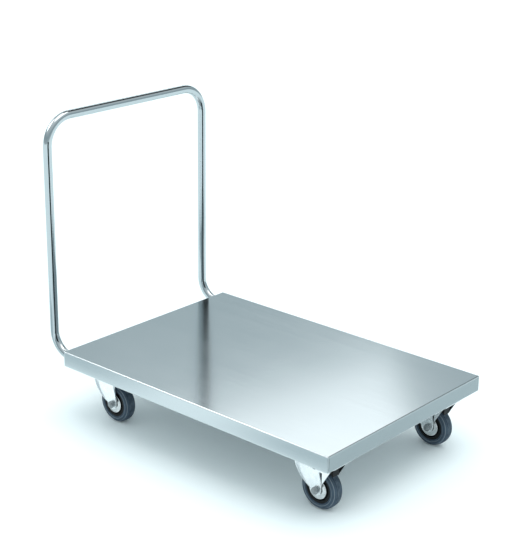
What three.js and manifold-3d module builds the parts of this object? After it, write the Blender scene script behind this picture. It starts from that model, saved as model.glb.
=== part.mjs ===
// Flatbed platform truck: a folded sheet deck on four swivel casters, pushed by a bent tube handle.
// Millimetres. +X is the front of the deck, +Z is up, the floor is Z = 0, and the origin is under
// the middle of the whole truck. All four casters trail towards +X, and the front pair has brakes.

import * as THREE from "three";
import { mergeVertices } from "three/addons/utils/BufferGeometryUtils.js";
import Module from "manifold-3d";

const wasm = await Module();
wasm.setup();

// ---------------------------------------------------------------- driving dimensions

const GAP = 0.3; // clearance left between pieces that touch

const DECK_LENGTH = 1050;
const DECK_WIDTH = 725;
const SKIRT_DEPTH = 50;
const DECK_SHEET = 2;
const SKIRT_LIP = 18; // inward fold along the lower edge of the skirt

const TUBE_DIAMETER = 27;
const TUBE_WALL = 2;
const HANDLE_RISE = 718; // deck top to the axis of the top bar
const HANDLE_SETBACK = 72; // tube axis behind the rear skirt
const HANDLE_INSET = 28.5; // tube axis in from each side of the deck
const HANDLE_FOOT_BEND = 70; // axis radius where a leg turns into the skirt
const HANDLE_TOP_BEND = 88; // axis radius where a leg turns into the bar

const MEMBER_SHEET = 2;
const MEMBER_MARGIN = 5; // cross member beyond each end of a caster plate
const MEMBER_FLANGE = 22;
const STIFFENER_WIDTH = 60;
const STIFFENER_DEPTH = 30;
const STIFFENER_SPACING = 260; // centre to centre
const BACKING_PLATE_WIDTH = 46;
const BACKING_PLATE_THICKNESS = 3;

const WHEEL_DIAMETER = 125;
const TYRE_WIDTH = 40;
const TYRE_DEPTH = 20; // radial thickness of the rubber
const SHOULDER_DEPTH = 9; // radial size of the round shoulder
const SHOULDER_WIDTH = 12; // axial size of the round shoulder
const SIDE_WALL_STEP = 2; // side wall stands out from the rim a little above the bore
const HUB_COVER_RADIUS = 30;
const HUB_COVER_THICKNESS = 2;
const RIM_SETBACK = 2; // rim faces inside the tyre's side walls
const RIM_WALL = 8;
const RIM_WEB = 12;
const BOSS_WALL = 7;
const BEARING_WALL = 4;

const AXLE_DIAMETER = 12;
const AXLE_HEAD = 19; // hexagon, across flats
const AXLE_HEAD_HEIGHT = 7.5;
const AXLE_NUT_HEIGHT = 10;
const THREAD_BEYOND_NUT = 3;

const TRAIL = 38; // axle behind the swivel axis
const REAR_CASTER_INSET = 102; // swivel axis from the rear end of the deck
const FRONT_CASTER_INSET = 131; // swivel axis from the front end of the deck
const SIDE_CASTER_INSET = 96; // swivel axis from each side of the deck

const PLATE_LENGTH = 105;
const PLATE_WIDTH = 85;
const PLATE_THICKNESS = 4;
const PLATE_CORNER = 9;
const BOLT_SPACING_X = 80;
const BOLT_SPACING_Y = 60;
const BOLT_HOLE = 9;

const FORK_SHEET = 3;
const FORK_SIDE_CLEARANCE = 3.5; // tyre wall to fork leg
const CROWN_SHEET = 3.5;
const CROWN_CLEARANCE = 23.5; // tyre top to the underside of the crown
const CROWN_CORNER = 12;
const LEG_END_RADIUS = 16;
const LEG_RIM_TOP = 8; // depth of the pressed rim at the crown
const LEG_RIM_FOOT = 3; // depth of the pressed rim round the axle
const LEG_REAR_REACH = 36; // leg edge behind the swivel axis, at the crown
const LEG_FRONT_REACH = 46; // leg edge ahead of the swivel axis, at the crown
const LEG_KNEE_REACH = 19; // widest point of the leg ahead of the axle
const LEG_KNEE_RISE = 32; // height of that point above the axle
const LEG_SHOULDER_DROP = 16; // straight stretch of the rear edge under the crown

const KINGPIN_DIAMETER = 12;
const KINGPIN_HEAD_RADIUS = 11;
const KINGPIN_HEAD_HEIGHT = 8;
const BEARING_RING_RADIUS = 36;
const BEARING_RING_HEIGHT = 13.4;

const BRAKE_SHEET = 2;
const BRAKE_PIN_DIAMETER = 8;
const BRAKE_PIN_RISE = 11; // pin axis above the top of the tyre
const BRAKE_EYE_RADIUS = 9;
const BRAKE_CHEEK_EDGE = 27; // rear edge of the triangular cheek, ahead of the axle
const BRAKE_CHEEK_TIP = 29; // lowest point of the cheek above the axle
const BRAKE_CHEEK_REACH = 66; // top front corner of the cheek, ahead of the axle
const BRAKE_PEDAL_REACH = 68; // front end of the tread plate, ahead of the axle
const BRAKE_PEDAL_DROP = 8; // tread plate below the caster plate
const BRAKE_LINING = 2.5;
const BRAKE_BLOCK_WIDTH = 28;
const BRAKE_BLOCK_REAR = 30;
const BRAKE_BLOCK_FRONT = 47;
const BRAKE_BLOCK_GAP = 6; // block to tyre with the pedal up

const CUT_MARGIN = 1; // how far a cutting tool runs past the sheet that it cuts

const WHEEL_SIDES = 24; // a multiple of four, so that a flat can stand on the floor
const TUBE_SIDES = 16;
const BORE_SIDES = 12;
const RING_SIDES = 16;
const HOLE_SIDES = 8;
const BEND_STEPS = 6;
const CORNER_STEPS = 2;
const LEG_STEPS = 5;

// ---------------------------------------------------------------- derived dimensions

const WHEEL_RADIUS = WHEEL_DIAMETER / 2;
const AXLE_HEIGHT = WHEEL_RADIUS;
const CROWN_UNDERSIDE = WHEEL_DIAMETER + CROWN_CLEARANCE;
const CROWN_TOP = CROWN_UNDERSIDE + CROWN_SHEET;
const PLATE_UNDERSIDE = CROWN_TOP + BEARING_RING_HEIGHT + 2 * GAP;
const PLATE_TOP = PLATE_UNDERSIDE + PLATE_THICKNESS;
const SKIRT_BOTTOM = PLATE_TOP + GAP;
const DECK_TOP = SKIRT_BOTTOM + SKIRT_DEPTH;
const DECK_UNDERSIDE = DECK_TOP - DECK_SHEET;

const TUBE_RADIUS = TUBE_DIAMETER / 2;
const OVERALL_LENGTH = DECK_LENGTH + HANDLE_SETBACK + TUBE_RADIUS;
const DECK_FRONT = OVERALL_LENGTH / 2;
const DECK_REAR = DECK_FRONT - DECK_LENGTH;
const HANDLE_LEG_Y = DECK_WIDTH / 2 - HANDLE_INSET;
const HANDLE_PLANE_X = DECK_REAR - HANDLE_SETBACK;
const HANDLE_JOIN_Z = DECK_TOP - SKIRT_DEPTH / 2;
const HANDLE_BAR_Z = DECK_TOP + HANDLE_RISE;

const CASTER_Y = DECK_WIDTH / 2 - SIDE_CASTER_INSET;
const REAR_CASTER_X = DECK_REAR + REAR_CASTER_INSET;
const FRONT_CASTER_X = DECK_FRONT - FRONT_CASTER_INSET;
const MEMBER_WIDTH = PLATE_LENGTH + 2 * MEMBER_MARGIN;
const MEMBER_LENGTH = DECK_WIDTH - 2 * (DECK_SHEET + SKIRT_LIP + GAP);

const TYRE_HALF = TYRE_WIDTH / 2;
const RIM_RADIUS = WHEEL_RADIUS - TYRE_DEPTH;
const RIM_HALF = TYRE_HALF - RIM_SETBACK;
const LEG_INSIDE = TYRE_HALF + FORK_SIDE_CLEARANCE;
const LEG_OUTSIDE = LEG_INSIDE + FORK_SHEET;
const CROWN_HALF_WIDTH = LEG_OUTSIDE + LEG_RIM_TOP + GAP;
const AXLE_RADIUS = AXLE_DIAMETER / 2;
const BEARING_RADIUS = AXLE_RADIUS + GAP + BEARING_WALL;
const BOSS_RADIUS = BEARING_RADIUS + GAP + BOSS_WALL;
const KINGPIN_RADIUS = KINGPIN_DIAMETER / 2;

const CHEEK_INSIDE = CROWN_HALF_WIDTH + GAP;
const CHEEK_OUTSIDE = CHEEK_INSIDE + BRAKE_SHEET;
const BRAKE_PIN_HEIGHT = WHEEL_DIAMETER + BRAKE_PIN_RISE;
const PEDAL_TOP = PLATE_UNDERSIDE - BRAKE_PEDAL_DROP;
const PEDAL_UNDERSIDE = PEDAL_TOP - BRAKE_SHEET;

// ---------------------------------------------------------------- finishes

const stainless = () => new THREE.MeshStandardMaterial({ color: 0xb4c2c6, roughness: 0.34, metalness: 1 });
const polishedTube = () => new THREE.MeshStandardMaterial({ color: 0xc6ccce, roughness: 0.16, metalness: 1 });
const zincPlate = () => new THREE.MeshStandardMaterial({ color: 0xd9dcdc, roughness: 0.3, metalness: 1 });
const blueRubber = () => new THREE.MeshStandardMaterial({ color: 0x3d5260, roughness: 0.7, metalness: 0 });
const blackNylon = () => new THREE.MeshStandardMaterial({ color: 0x121416, roughness: 0.5, metalness: 0 });
const hardSteel = () => new THREE.MeshStandardMaterial({ color: 0x9ea3a6, roughness: 0.35, metalness: 1 });

// ---------------------------------------------------------------- shape helpers

/** Turn a closed three.js geometry into a manifold solid. */
function solidOf(geometry) {
  const bare = geometry.clone();
  bare.deleteAttribute("normal");
  bare.deleteAttribute("uv");
  const merged = mergeVertices(bare, 1e-4);
  return new wasm.Manifold(new wasm.Mesh({
    numProp: 3,
    vertProperties: new Float32Array(merged.attributes.position.array),
    triVerts: new Uint32Array(merged.index.array),
  }));
}

/** Turn a manifold solid back into a three.js geometry. */
function geometryOf(solid) {
  const mesh = solid.getMesh();
  const geometry = new THREE.BufferGeometry();
  geometry.setAttribute("position", new THREE.BufferAttribute(new Float32Array(mesh.vertProperties), 3));
  geometry.setIndex(new THREE.BufferAttribute(new Uint32Array(mesh.triVerts), 1));
  geometry.computeVertexNormals();
  return geometry;
}

/** Join several geometries into one solid. */
function join(...geometries) {
  return geometries.map(solidOf).reduce((whole, next) => whole.add(next));
}

/** Cut several geometries out of a solid. */
function cut(solid, ...tools) {
  return tools.map(solidOf).reduce((rest, tool) => rest.subtract(tool), solid);
}

/** A box between two opposite corners. */
function boxBetween(low, high) {
  const size = high.map((value, axis) => value - low[axis]);
  const middle = high.map((value, axis) => (value + low[axis]) / 2);
  return new THREE.BoxGeometry(...size).translate(...middle);
}

/** Extrude a shape drawn in X and Z from y = low to y = high. */
function extrudeAcross(shape, low, high) {
  const options = { depth: high - low, bevelEnabled: false, curveSegments: LEG_STEPS };
  const geometry = new THREE.ExtrudeGeometry(shape, options);
  const turn = new THREE.Matrix4().makeBasis(
    new THREE.Vector3(1, 0, 0),
    new THREE.Vector3(0, 0, 1),
    new THREE.Vector3(0, -1, 0),
  );
  return geometry.applyMatrix4(turn).translate(0, high, 0);
}

/** Extrude a shape drawn in Y and Z from x = low to x = high. */
function extrudeAlong(shape, low, high) {
  const geometry = new THREE.ExtrudeGeometry(shape, { depth: high - low, bevelEnabled: false });
  const turn = new THREE.Matrix4().makeBasis(
    new THREE.Vector3(0, 1, 0),
    new THREE.Vector3(0, 0, 1),
    new THREE.Vector3(1, 0, 0),
  );
  return geometry.applyMatrix4(turn).translate(low, 0, 0);
}

/** A round bar on an axis parallel to Y. */
function crossBar(x, z, radius, low, high, sides) {
  return new THREE.CylinderGeometry(radius, radius, high - low, sides).translate(x, (low + high) / 2, z);
}

/** A round bar on a vertical axis. */
function uprightBar(x, y, radius, low, high, sides) {
  const bar = new THREE.CylinderGeometry(radius, radius, high - low, sides).rotateX(Math.PI / 2);
  return bar.translate(x, y, (low + high) / 2);
}

/** Revolve a closed [radius, offset] profile about the axle. */
function axleRing(profile, sides, start = 0) {
  const points = [...profile, profile[0]].map(([radius, offset]) => new THREE.Vector2(radius, offset));
  return new THREE.LatheGeometry(points, sides, start).translate(TRAIL, 0, AXLE_HEIGHT);
}

/** A ring of the wheel, drawn round its true circle, so that one of its flats rests on the floor. */
function wheelRing(profile) {
  const half = Math.PI / WHEEL_SIDES;
  const grown = profile.map(([radius, offset]) => [radius / Math.cos(half), offset]);
  return axleRing(grown, WHEEL_SIDES, half);
}

/** Revolve a [radius, height] profile about the Z axis. */
function uprightRing(profile, sides) {
  const points = profile.map(([radius, height]) => new THREE.Vector2(radius, height));
  return new THREE.LatheGeometry(points, sides).rotateX(Math.PI / 2);
}

/** The points of a regular polygon round the origin. */
function ringPoints(radius, sides) {
  return Array.from({ length: sides }, (_, step) => {
    const angle = (2 * Math.PI * step) / sides;
    return new THREE.Vector2(radius * Math.cos(angle), radius * Math.sin(angle));
  });
}

/** A rectangle with rounded corners, drawn about its own middle. */
function roundedRectangle(length, width, corner) {
  const shape = new THREE.Shape();
  const x = length / 2 - corner;
  const y = width / 2 - corner;
  shape.absarc(x, y, corner, 0, Math.PI / 2);
  shape.absarc(-x, y, corner, Math.PI / 2, Math.PI);
  shape.absarc(-x, -y, corner, Math.PI, 1.5 * Math.PI);
  shape.absarc(x, -y, corner, 1.5 * Math.PI, 2 * Math.PI);
  shape.closePath();
  return shape;
}

/** A flat plate lying level, from z = low to z = high. */
function levelPlate(shape, low, high) {
  const options = { depth: high - low, bevelEnabled: false, curveSegments: CORNER_STEPS };
  const geometry = new THREE.ExtrudeGeometry(shape, options);
  return geometry.translate(0, 0, low);
}

/** The centres of the four bolt holes of a caster plate, from its own middle. */
function boltCentres() {
  const centres = [];
  for (const x of [-BOLT_SPACING_X / 2, BOLT_SPACING_X / 2]) {
    for (const y of [-BOLT_SPACING_Y / 2, BOLT_SPACING_Y / 2]) {
      centres.push([x, y]);
    }
  }
  return centres;
}

/** A path given by stations, each a point with its direction, so that steps crowd into the bends. */
class StationPath extends THREE.Curve {
  constructor(stations) {
    super();
    this.stations = stations;
  }

  station(u) {
    return this.stations[Math.round(u * (this.stations.length - 1))];
  }

  getPoint(u, target = new THREE.Vector3()) {
    return target.copy(this.station(u).point);
  }

  getPointAt(u, target) {
    return this.getPoint(u, target);
  }

  getTangentAt(u, target = new THREE.Vector3()) {
    return target.copy(this.station(u).direction);
  }
}

// ---------------------------------------------------------------- deck and handle

/** The deck: one sheet folded down on four sides, with a narrow lip turned in at the bottom. */
function deckTray() {
  const halfWidth = DECK_WIDTH / 2;
  const inside = DECK_SHEET + SKIRT_LIP;
  const block = boxBetween([DECK_REAR, -halfWidth, SKIRT_BOTTOM], [DECK_FRONT, halfWidth, DECK_TOP]);
  const hollow = boxBetween(
    [DECK_REAR + DECK_SHEET, -halfWidth + DECK_SHEET, SKIRT_BOTTOM + DECK_SHEET],
    [DECK_FRONT - DECK_SHEET, halfWidth - DECK_SHEET, DECK_UNDERSIDE],
  );
  const mouth = boxBetween(
    [DECK_REAR + inside, -halfWidth + inside, SKIRT_BOTTOM - CUT_MARGIN],
    [DECK_FRONT - inside, halfWidth - inside, SKIRT_BOTTOM + DECK_SHEET + CUT_MARGIN],
  );
  return geometryOf(cut(solidOf(block), hollow, mouth));
}

/** Stations round a quarter bend of a given radius that turns from one direction to another. */
function bendStations(start, from, to, radius) {
  const stations = [];
  const centre = start.clone().addScaledVector(to, radius);
  for (let step = 0; step <= BEND_STEPS; step += 1) {
    const angle = (Math.PI / 2) * (step / BEND_STEPS);
    const point = centre.clone();
    point.addScaledVector(to, -radius * Math.cos(angle));
    point.addScaledVector(from, radius * Math.sin(angle));
    const direction = from.clone().multiplyScalar(Math.cos(angle));
    direction.addScaledVector(to, Math.sin(angle));
    stations.push({ point, direction });
  }
  return stations;
}

/** The handle: one hollow tube that leaves the rear skirt, turns up, crosses over and comes back. */
function pushHandle() {
  const forward = new THREE.Vector3(1, 0, 0);
  const backward = new THREE.Vector3(-1, 0, 0);
  const up = new THREE.Vector3(0, 0, 1);
  const down = new THREE.Vector3(0, 0, -1);
  const across = new THREE.Vector3(0, 1, 0);
  const footX = HANDLE_PLANE_X + HANDLE_FOOT_BEND;
  const topZ = HANDLE_BAR_Z - HANDLE_TOP_BEND;
  const barY = HANDLE_LEG_Y - HANDLE_TOP_BEND;
  const bendZ = HANDLE_JOIN_Z + HANDLE_FOOT_BEND;
  const legY = HANDLE_LEG_Y;
  const planeX = HANDLE_PLANE_X;
  const endX = DECK_REAR - GAP;
  const stations = [
    { point: new THREE.Vector3(endX, -legY, HANDLE_JOIN_Z), direction: backward },
    ...bendStations(new THREE.Vector3(footX, -legY, HANDLE_JOIN_Z), backward, up, HANDLE_FOOT_BEND),
    ...bendStations(new THREE.Vector3(planeX, -legY, topZ), up, across, HANDLE_TOP_BEND),
    ...bendStations(new THREE.Vector3(planeX, barY, HANDLE_BAR_Z), across, down, HANDLE_TOP_BEND),
    ...bendStations(new THREE.Vector3(planeX, legY, bendZ), down, forward, HANDLE_FOOT_BEND),
    { point: new THREE.Vector3(endX, legY, HANDLE_JOIN_Z), direction: forward },
  ];
  const section = new THREE.Shape(ringPoints(TUBE_RADIUS, TUBE_SIDES));
  section.holes.push(new THREE.Path(ringPoints(TUBE_RADIUS - TUBE_WALL, TUBE_SIDES).reverse()));
  return new THREE.ExtrudeGeometry(section, {
    steps: stations.length - 1,
    bevelEnabled: false,
    extrudePath: new StationPath(stations),
  });
}

/** A plate inside the rear skirt that backs the end of one handle leg. */
function backingPlate(side) {
  const middle = side * HANDLE_LEG_Y;
  const front = DECK_REAR + DECK_SHEET + GAP;
  return boxBetween(
    [front, middle - BACKING_PLATE_WIDTH / 2, SKIRT_BOTTOM + DECK_SHEET + GAP],
    [front + BACKING_PLATE_THICKNESS, middle + BACKING_PLATE_WIDTH / 2, DECK_UNDERSIDE - GAP],
  );
}

/** A hat section, open at the top, whose flanges lie under the deck sheet. */
function hatSection(width, bottom, sheet) {
  const top = DECK_UNDERSIDE - GAP;
  const half = width / 2;
  const reach = half + MEMBER_FLANGE;
  return new THREE.Shape([
    new THREE.Vector2(-half, bottom),
    new THREE.Vector2(half, bottom),
    new THREE.Vector2(half, top - sheet),
    new THREE.Vector2(reach, top - sheet),
    new THREE.Vector2(reach, top),
    new THREE.Vector2(half - sheet, top),
    new THREE.Vector2(half - sheet, bottom + sheet),
    new THREE.Vector2(-half + sheet, bottom + sheet),
    new THREE.Vector2(-half + sheet, top),
    new THREE.Vector2(-reach, top),
    new THREE.Vector2(-reach, top - sheet),
    new THREE.Vector2(-half, top - sheet),
  ]);
}

/** A cross member that carries two casters, with their bolt holes through its floor. */
function crossMember(x) {
  const section = hatSection(MEMBER_WIDTH, SKIRT_BOTTOM, MEMBER_SHEET);
  const body = extrudeAcross(section, -MEMBER_LENGTH / 2, MEMBER_LENGTH / 2).translate(x, 0, 0);
  const holes = [];
  for (const side of [-1, 1]) {
    for (const [boltX, boltY] of boltCentres()) {
      const y = side * CASTER_Y + boltY;
      const low = SKIRT_BOTTOM - CUT_MARGIN;
      const high = SKIRT_BOTTOM + MEMBER_SHEET + CUT_MARGIN;
      holes.push(uprightBar(x + boltX, y, BOLT_HOLE / 2, low, high, HOLE_SIDES));
    }
  }
  return geometryOf(cut(solidOf(body), ...holes));
}

/** A stiffener that runs between the two cross members. */
function stiffener(side) {
  const reach = MEMBER_WIDTH / 2 + MEMBER_FLANGE + GAP;
  const section = hatSection(STIFFENER_WIDTH, DECK_UNDERSIDE - STIFFENER_DEPTH, MEMBER_SHEET);
  const bar = extrudeAlong(section, REAR_CASTER_X + reach, FRONT_CASTER_X - reach);
  return bar.translate(0, (side * STIFFENER_SPACING) / 2, 0);
}

// ---------------------------------------------------------------- casters, about the swivel axis

/** The plate that bolts the caster to a cross member. */
function topPlate() {
  const shape = roundedRectangle(PLATE_LENGTH, PLATE_WIDTH, PLATE_CORNER);
  for (const [x, y] of boltCentres()) {
    const circle = ringPoints(BOLT_HOLE / 2, HOLE_SIDES).map((point) => point.add(new THREE.Vector2(x, y)));
    shape.holes.push(new THREE.Path(circle.reverse()));
  }
  shape.holes.push(new THREE.Path(ringPoints(KINGPIN_RADIUS + GAP, RING_SIDES).reverse()));
  return levelPlate(shape, PLATE_UNDERSIDE, PLATE_TOP);
}

/** The ball race between the plate and the fork crown. */
function swivelBearing() {
  const low = CROWN_TOP + GAP;
  const high = PLATE_UNDERSIDE - GAP;
  const third = (high - low) / 3;
  const bore = KINGPIN_RADIUS + GAP;
  const lip = BEARING_RING_RADIUS - third;
  return uprightRing([
    [bore, high],
    [bore, low],
    [lip, low],
    [BEARING_RING_RADIUS, low + third],
    [BEARING_RING_RADIUS, high - third],
    [lip, high],
    [bore, high],
  ], RING_SIDES);
}

/** The pin that the fork turns on, headed under the crown. */
function kingpin() {
  const headTop = CROWN_UNDERSIDE - GAP;
  const headLow = headTop - KINGPIN_HEAD_HEIGHT;
  return uprightRing([
    [0, headLow],
    [KINGPIN_HEAD_RADIUS, headLow],
    [KINGPIN_HEAD_RADIUS, headTop],
    [KINGPIN_RADIUS, headTop],
    [KINGPIN_RADIUS, PLATE_TOP],
    [0, PLATE_TOP],
  ], BORE_SIDES);
}

/** The outline of a fork leg in X and Z, drawn inside its true edge by a margin. */
function legOutline(margin) {
  const radius = LEG_END_RADIUS - margin;
  const rear = -LEG_REAR_REACH + margin;
  const shoulder = CROWN_UNDERSIDE - LEG_SHOULDER_DROP;
  const top = CROWN_UNDERSIDE + CROWN_SHEET / 2;
  const away = new THREE.Vector2(rear - TRAIL, shoulder - AXLE_HEIGHT);
  const lean = Math.atan2(away.y, away.x) + Math.acos(radius / away.length());
  const shape = new THREE.Shape();
  shape.moveTo(rear, top);
  shape.lineTo(rear, shoulder);
  shape.absarc(TRAIL, AXLE_HEIGHT, radius, lean, 2 * Math.PI);
  shape.lineTo(TRAIL + LEG_KNEE_REACH - margin, AXLE_HEIGHT + LEG_KNEE_RISE);
  shape.lineTo(LEG_FRONT_REACH - margin, top);
  shape.closePath();
  return shape;
}

/** The pressed rim of a leg: a strip round its edge that deepens from the foot to the crown. */
function legRim(side) {
  const outer = solidOf(extrudeAcross(legOutline(0), 0, 1));
  const strip = geometryOf(cut(outer, extrudeAcross(legOutline(FORK_SHEET), -CUT_MARGIN, 1 + CUT_MARGIN)));
  const foot = AXLE_HEIGHT - LEG_END_RADIUS;
  const slope = (LEG_RIM_TOP - LEG_RIM_FOOT) / (CROWN_TOP - foot);
  const points = strip.attributes.position;
  for (let index = 0; index < points.count; index += 1) {
    const depth = LEG_RIM_FOOT + slope * (points.getZ(index) - foot);
    const isOuterRing = points.getY(index) > 0;
    const reach = isOuterRing ? LEG_OUTSIDE + depth : LEG_OUTSIDE - FORK_SHEET / 2;
    points.setY(index, reach);
  }
  return side > 0 ? strip : strip.applyMatrix4(new THREE.Matrix4().makeScale(1, -1, 1));
}

/** Turn a mirrored geometry's faces outwards again. */
function flipFaces(geometry) {
  const flipped = geometry.clone();
  const order = flipped.index.array;
  for (let first = 0; first < order.length; first += 3) {
    [order[first + 1], order[first + 2]] = [order[first + 2], order[first + 1]];
  }
  return flipped;
}

/** The fork: a crown plate with two pressed legs, bored for the kingpin, the axle and the brake pin. */
function fork(braked) {
  const length = LEG_REAR_REACH + LEG_FRONT_REACH + 2 * GAP;
  const crown = roundedRectangle(length, 2 * CROWN_HALF_WIDTH, CROWN_CORNER);
  const crownPlate = levelPlate(crown, CROWN_UNDERSIDE, CROWN_TOP);
  crownPlate.translate((LEG_FRONT_REACH - LEG_REAR_REACH) / 2, 0, 0);
  const body = join(
    crownPlate,
    extrudeAcross(legOutline(0), LEG_INSIDE, LEG_OUTSIDE),
    extrudeAcross(legOutline(0), -LEG_OUTSIDE, -LEG_INSIDE),
    legRim(1),
    flipFaces(legRim(-1)),
  );
  const reach = CROWN_HALF_WIDTH + CUT_MARGIN;
  const low = CROWN_UNDERSIDE - CUT_MARGIN;
  const bores = [
    uprightBar(0, 0, KINGPIN_RADIUS + GAP, low, CROWN_TOP + CUT_MARGIN, RING_SIDES),
    crossBar(TRAIL, AXLE_HEIGHT, AXLE_RADIUS + GAP, -reach, reach, BORE_SIDES),
  ];
  if (braked) {
    bores.push(crossBar(TRAIL, BRAKE_PIN_HEIGHT, BRAKE_PIN_DIAMETER / 2 + GAP, -reach, reach, BORE_SIDES));
  }
  return geometryOf(cut(body, ...bores));
}

/** The rubber tyre, with round shoulders and a shallow crown. */
function tyre() {
  const bore = RIM_RADIUS + GAP;
  const wall = TYRE_HALF;
  const slopeRadius = WHEEL_RADIUS - SHOULDER_DEPTH / 3;
  return wheelRing([
    [bore, RIM_HALF],
    [bore, -RIM_HALF],
    [bore + SIDE_WALL_STEP, -wall],
    [WHEEL_RADIUS - SHOULDER_DEPTH, -wall],
    [slopeRadius, -wall + SHOULDER_WIDTH / 3],
    [WHEEL_RADIUS, -wall + SHOULDER_WIDTH],
    [WHEEL_RADIUS, wall - SHOULDER_WIDTH],
    [slopeRadius, wall - SHOULDER_WIDTH / 3],
    [WHEEL_RADIUS - SHOULDER_DEPTH, wall],
    [bore + SIDE_WALL_STEP, wall],
  ]);
}

/** The nylon wheel centre: a rim, a thin web and a boss with the bearing's bore. */
function rim() {
  const bore = BEARING_RADIUS + GAP;
  const inner = RIM_RADIUS - RIM_WALL;
  const web = RIM_WEB / 2;
  return wheelRing([
    [bore, RIM_HALF],
    [bore, -RIM_HALF],
    [BOSS_RADIUS, -RIM_HALF],
    [BOSS_RADIUS, -web],
    [inner, -web],
    [inner, -RIM_HALF],
    [RIM_RADIUS, -RIM_HALF],
    [RIM_RADIUS, RIM_HALF],
    [inner, RIM_HALF],
    [inner, web],
    [BOSS_RADIUS, web],
    [BOSS_RADIUS, RIM_HALF],
  ]);
}

/** The bright cover on one face of the wheel centre. */
function hubCover(side) {
  const near = RIM_HALF + GAP;
  const profile = [
    [BEARING_RADIUS + GAP, near],
    [HUB_COVER_RADIUS, near],
    [HUB_COVER_RADIUS - HUB_COVER_THICKNESS, near + HUB_COVER_THICKNESS],
    [BEARING_RADIUS + GAP, near + HUB_COVER_THICKNESS],
  ];
  const placed = side > 0 ? profile : profile.map(([radius, offset]) => [radius, -offset]).reverse();
  return axleRing(placed, RING_SIDES);
}

/** The roller bearing sleeve between the wheel centre and the axle, as long as the fork is wide. */
function wheelBearing() {
  const half = LEG_INSIDE - GAP;
  return axleRing([
    [AXLE_RADIUS + GAP, half],
    [AXLE_RADIUS + GAP, -half],
    [BEARING_RADIUS, -half],
    [BEARING_RADIUS, half],
  ], BORE_SIDES);
}

/** A hexagon prism on an axis parallel to Y. */
function hexagon(x, z, acrossFlats, low, high) {
  return crossBar(x, z, acrossFlats / Math.sqrt(3), low, high, 6);
}

/** The axle bolt, headed outside one leg and threaded past the nut on the other. */
function axleBolt() {
  const head = LEG_OUTSIDE + GAP;
  const tail = -(LEG_OUTSIDE + GAP + AXLE_NUT_HEIGHT + THREAD_BEYOND_NUT);
  return geometryOf(join(
    crossBar(TRAIL, AXLE_HEIGHT, AXLE_RADIUS, tail, head + AXLE_HEAD_HEIGHT / 2, BORE_SIDES),
    hexagon(TRAIL, AXLE_HEIGHT, AXLE_HEAD, head, head + AXLE_HEAD_HEIGHT),
  ));
}

/** The nut on the threaded end of the axle. */
function axleNut() {
  const near = -(LEG_OUTSIDE + GAP);
  const far = near - AXLE_NUT_HEIGHT;
  const block = solidOf(hexagon(TRAIL, AXLE_HEIGHT, AXLE_HEAD, far, near));
  const low = far - CUT_MARGIN;
  const bore = crossBar(TRAIL, AXLE_HEIGHT, AXLE_RADIUS + GAP, low, near + CUT_MARGIN, BORE_SIDES);
  return geometryOf(cut(block, bore));
}

// ---------------------------------------------------------------- brakes, about the swivel axis

/** The outline of the brake lever's cheek: an eye round the pin, an arm and a hanging triangle. */
function cheekOutline() {
  const shape = new THREE.Shape();
  const edge = TRAIL + BRAKE_CHEEK_EDGE;
  shape.moveTo(TRAIL - BRAKE_EYE_RADIUS, PEDAL_TOP);
  shape.absarc(TRAIL, BRAKE_PIN_HEIGHT, BRAKE_EYE_RADIUS, Math.PI, 1.5 * Math.PI);
  shape.lineTo(edge, BRAKE_PIN_HEIGHT - BRAKE_EYE_RADIUS);
  shape.lineTo(edge, AXLE_HEIGHT + BRAKE_CHEEK_TIP);
  shape.lineTo(TRAIL + BRAKE_CHEEK_REACH, PEDAL_TOP);
  shape.closePath();
  return shape;
}

/** The brake lever: two cheeks joined by the tread plate that a foot presses. */
function brakeLever() {
  const start = LEG_FRONT_REACH + FORK_SHEET;
  const tread = boxBetween(
    [start, -CHEEK_OUTSIDE, PEDAL_UNDERSIDE],
    [TRAIL + BRAKE_PEDAL_REACH, CHEEK_OUTSIDE, PEDAL_TOP],
  );
  const body = join(
    tread,
    extrudeAcross(cheekOutline(), CHEEK_INSIDE, CHEEK_OUTSIDE),
    extrudeAcross(cheekOutline(), -CHEEK_OUTSIDE, -CHEEK_INSIDE),
  );
  const reach = CHEEK_OUTSIDE + CUT_MARGIN;
  const eye = crossBar(TRAIL, BRAKE_PIN_HEIGHT, BRAKE_PIN_DIAMETER / 2 + GAP, -reach, reach, BORE_SIDES);
  return geometryOf(cut(body, eye));
}

/** The pin that the brake lever turns on, through both fork legs. */
function brakePin() {
  const reach = CHEEK_OUTSIDE + BRAKE_SHEET;
  return crossBar(TRAIL, BRAKE_PIN_HEIGHT, BRAKE_PIN_DIAMETER / 2, -reach, reach, BORE_SIDES);
}

/** The moulded brake block: it lines the lever's triangle and presses on the tyre. */
function brakeBlock() {
  const rear = TRAIL + BRAKE_CHEEK_EDGE + GAP;
  const top = PEDAL_UNDERSIDE - GAP;
  const outside = CHEEK_INSIDE - GAP;
  const inside = outside - BRAKE_LINING;
  const front = TRAIL + BRAKE_CHEEK_REACH - BRAKE_LINING;
  const lining = new THREE.Shape([
    new THREE.Vector2(rear, top),
    new THREE.Vector2(rear, AXLE_HEIGHT + BRAKE_CHEEK_TIP + BRAKE_LINING),
    new THREE.Vector2(front, top),
  ]);
  const roof = boxBetween([rear, -outside, top - BRAKE_LINING], [front - BRAKE_LINING, outside, top]);
  const block = boxBetween(
    [TRAIL + BRAKE_BLOCK_REAR, -BRAKE_BLOCK_WIDTH / 2, AXLE_HEIGHT],
    [TRAIL + BRAKE_BLOCK_FRONT, BRAKE_BLOCK_WIDTH / 2, top - BRAKE_LINING / 2],
  );
  const body = join(
    roof,
    block,
    extrudeAcross(lining, inside, outside),
    extrudeAcross(lining, -outside, -inside),
  );
  const sweep = WHEEL_RADIUS + BRAKE_BLOCK_GAP;
  const arch = crossBar(TRAIL, AXLE_HEIGHT, sweep, -inside + GAP, inside - GAP, WHEEL_SIDES);
  return geometryOf(cut(body, arch));
}

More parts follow.
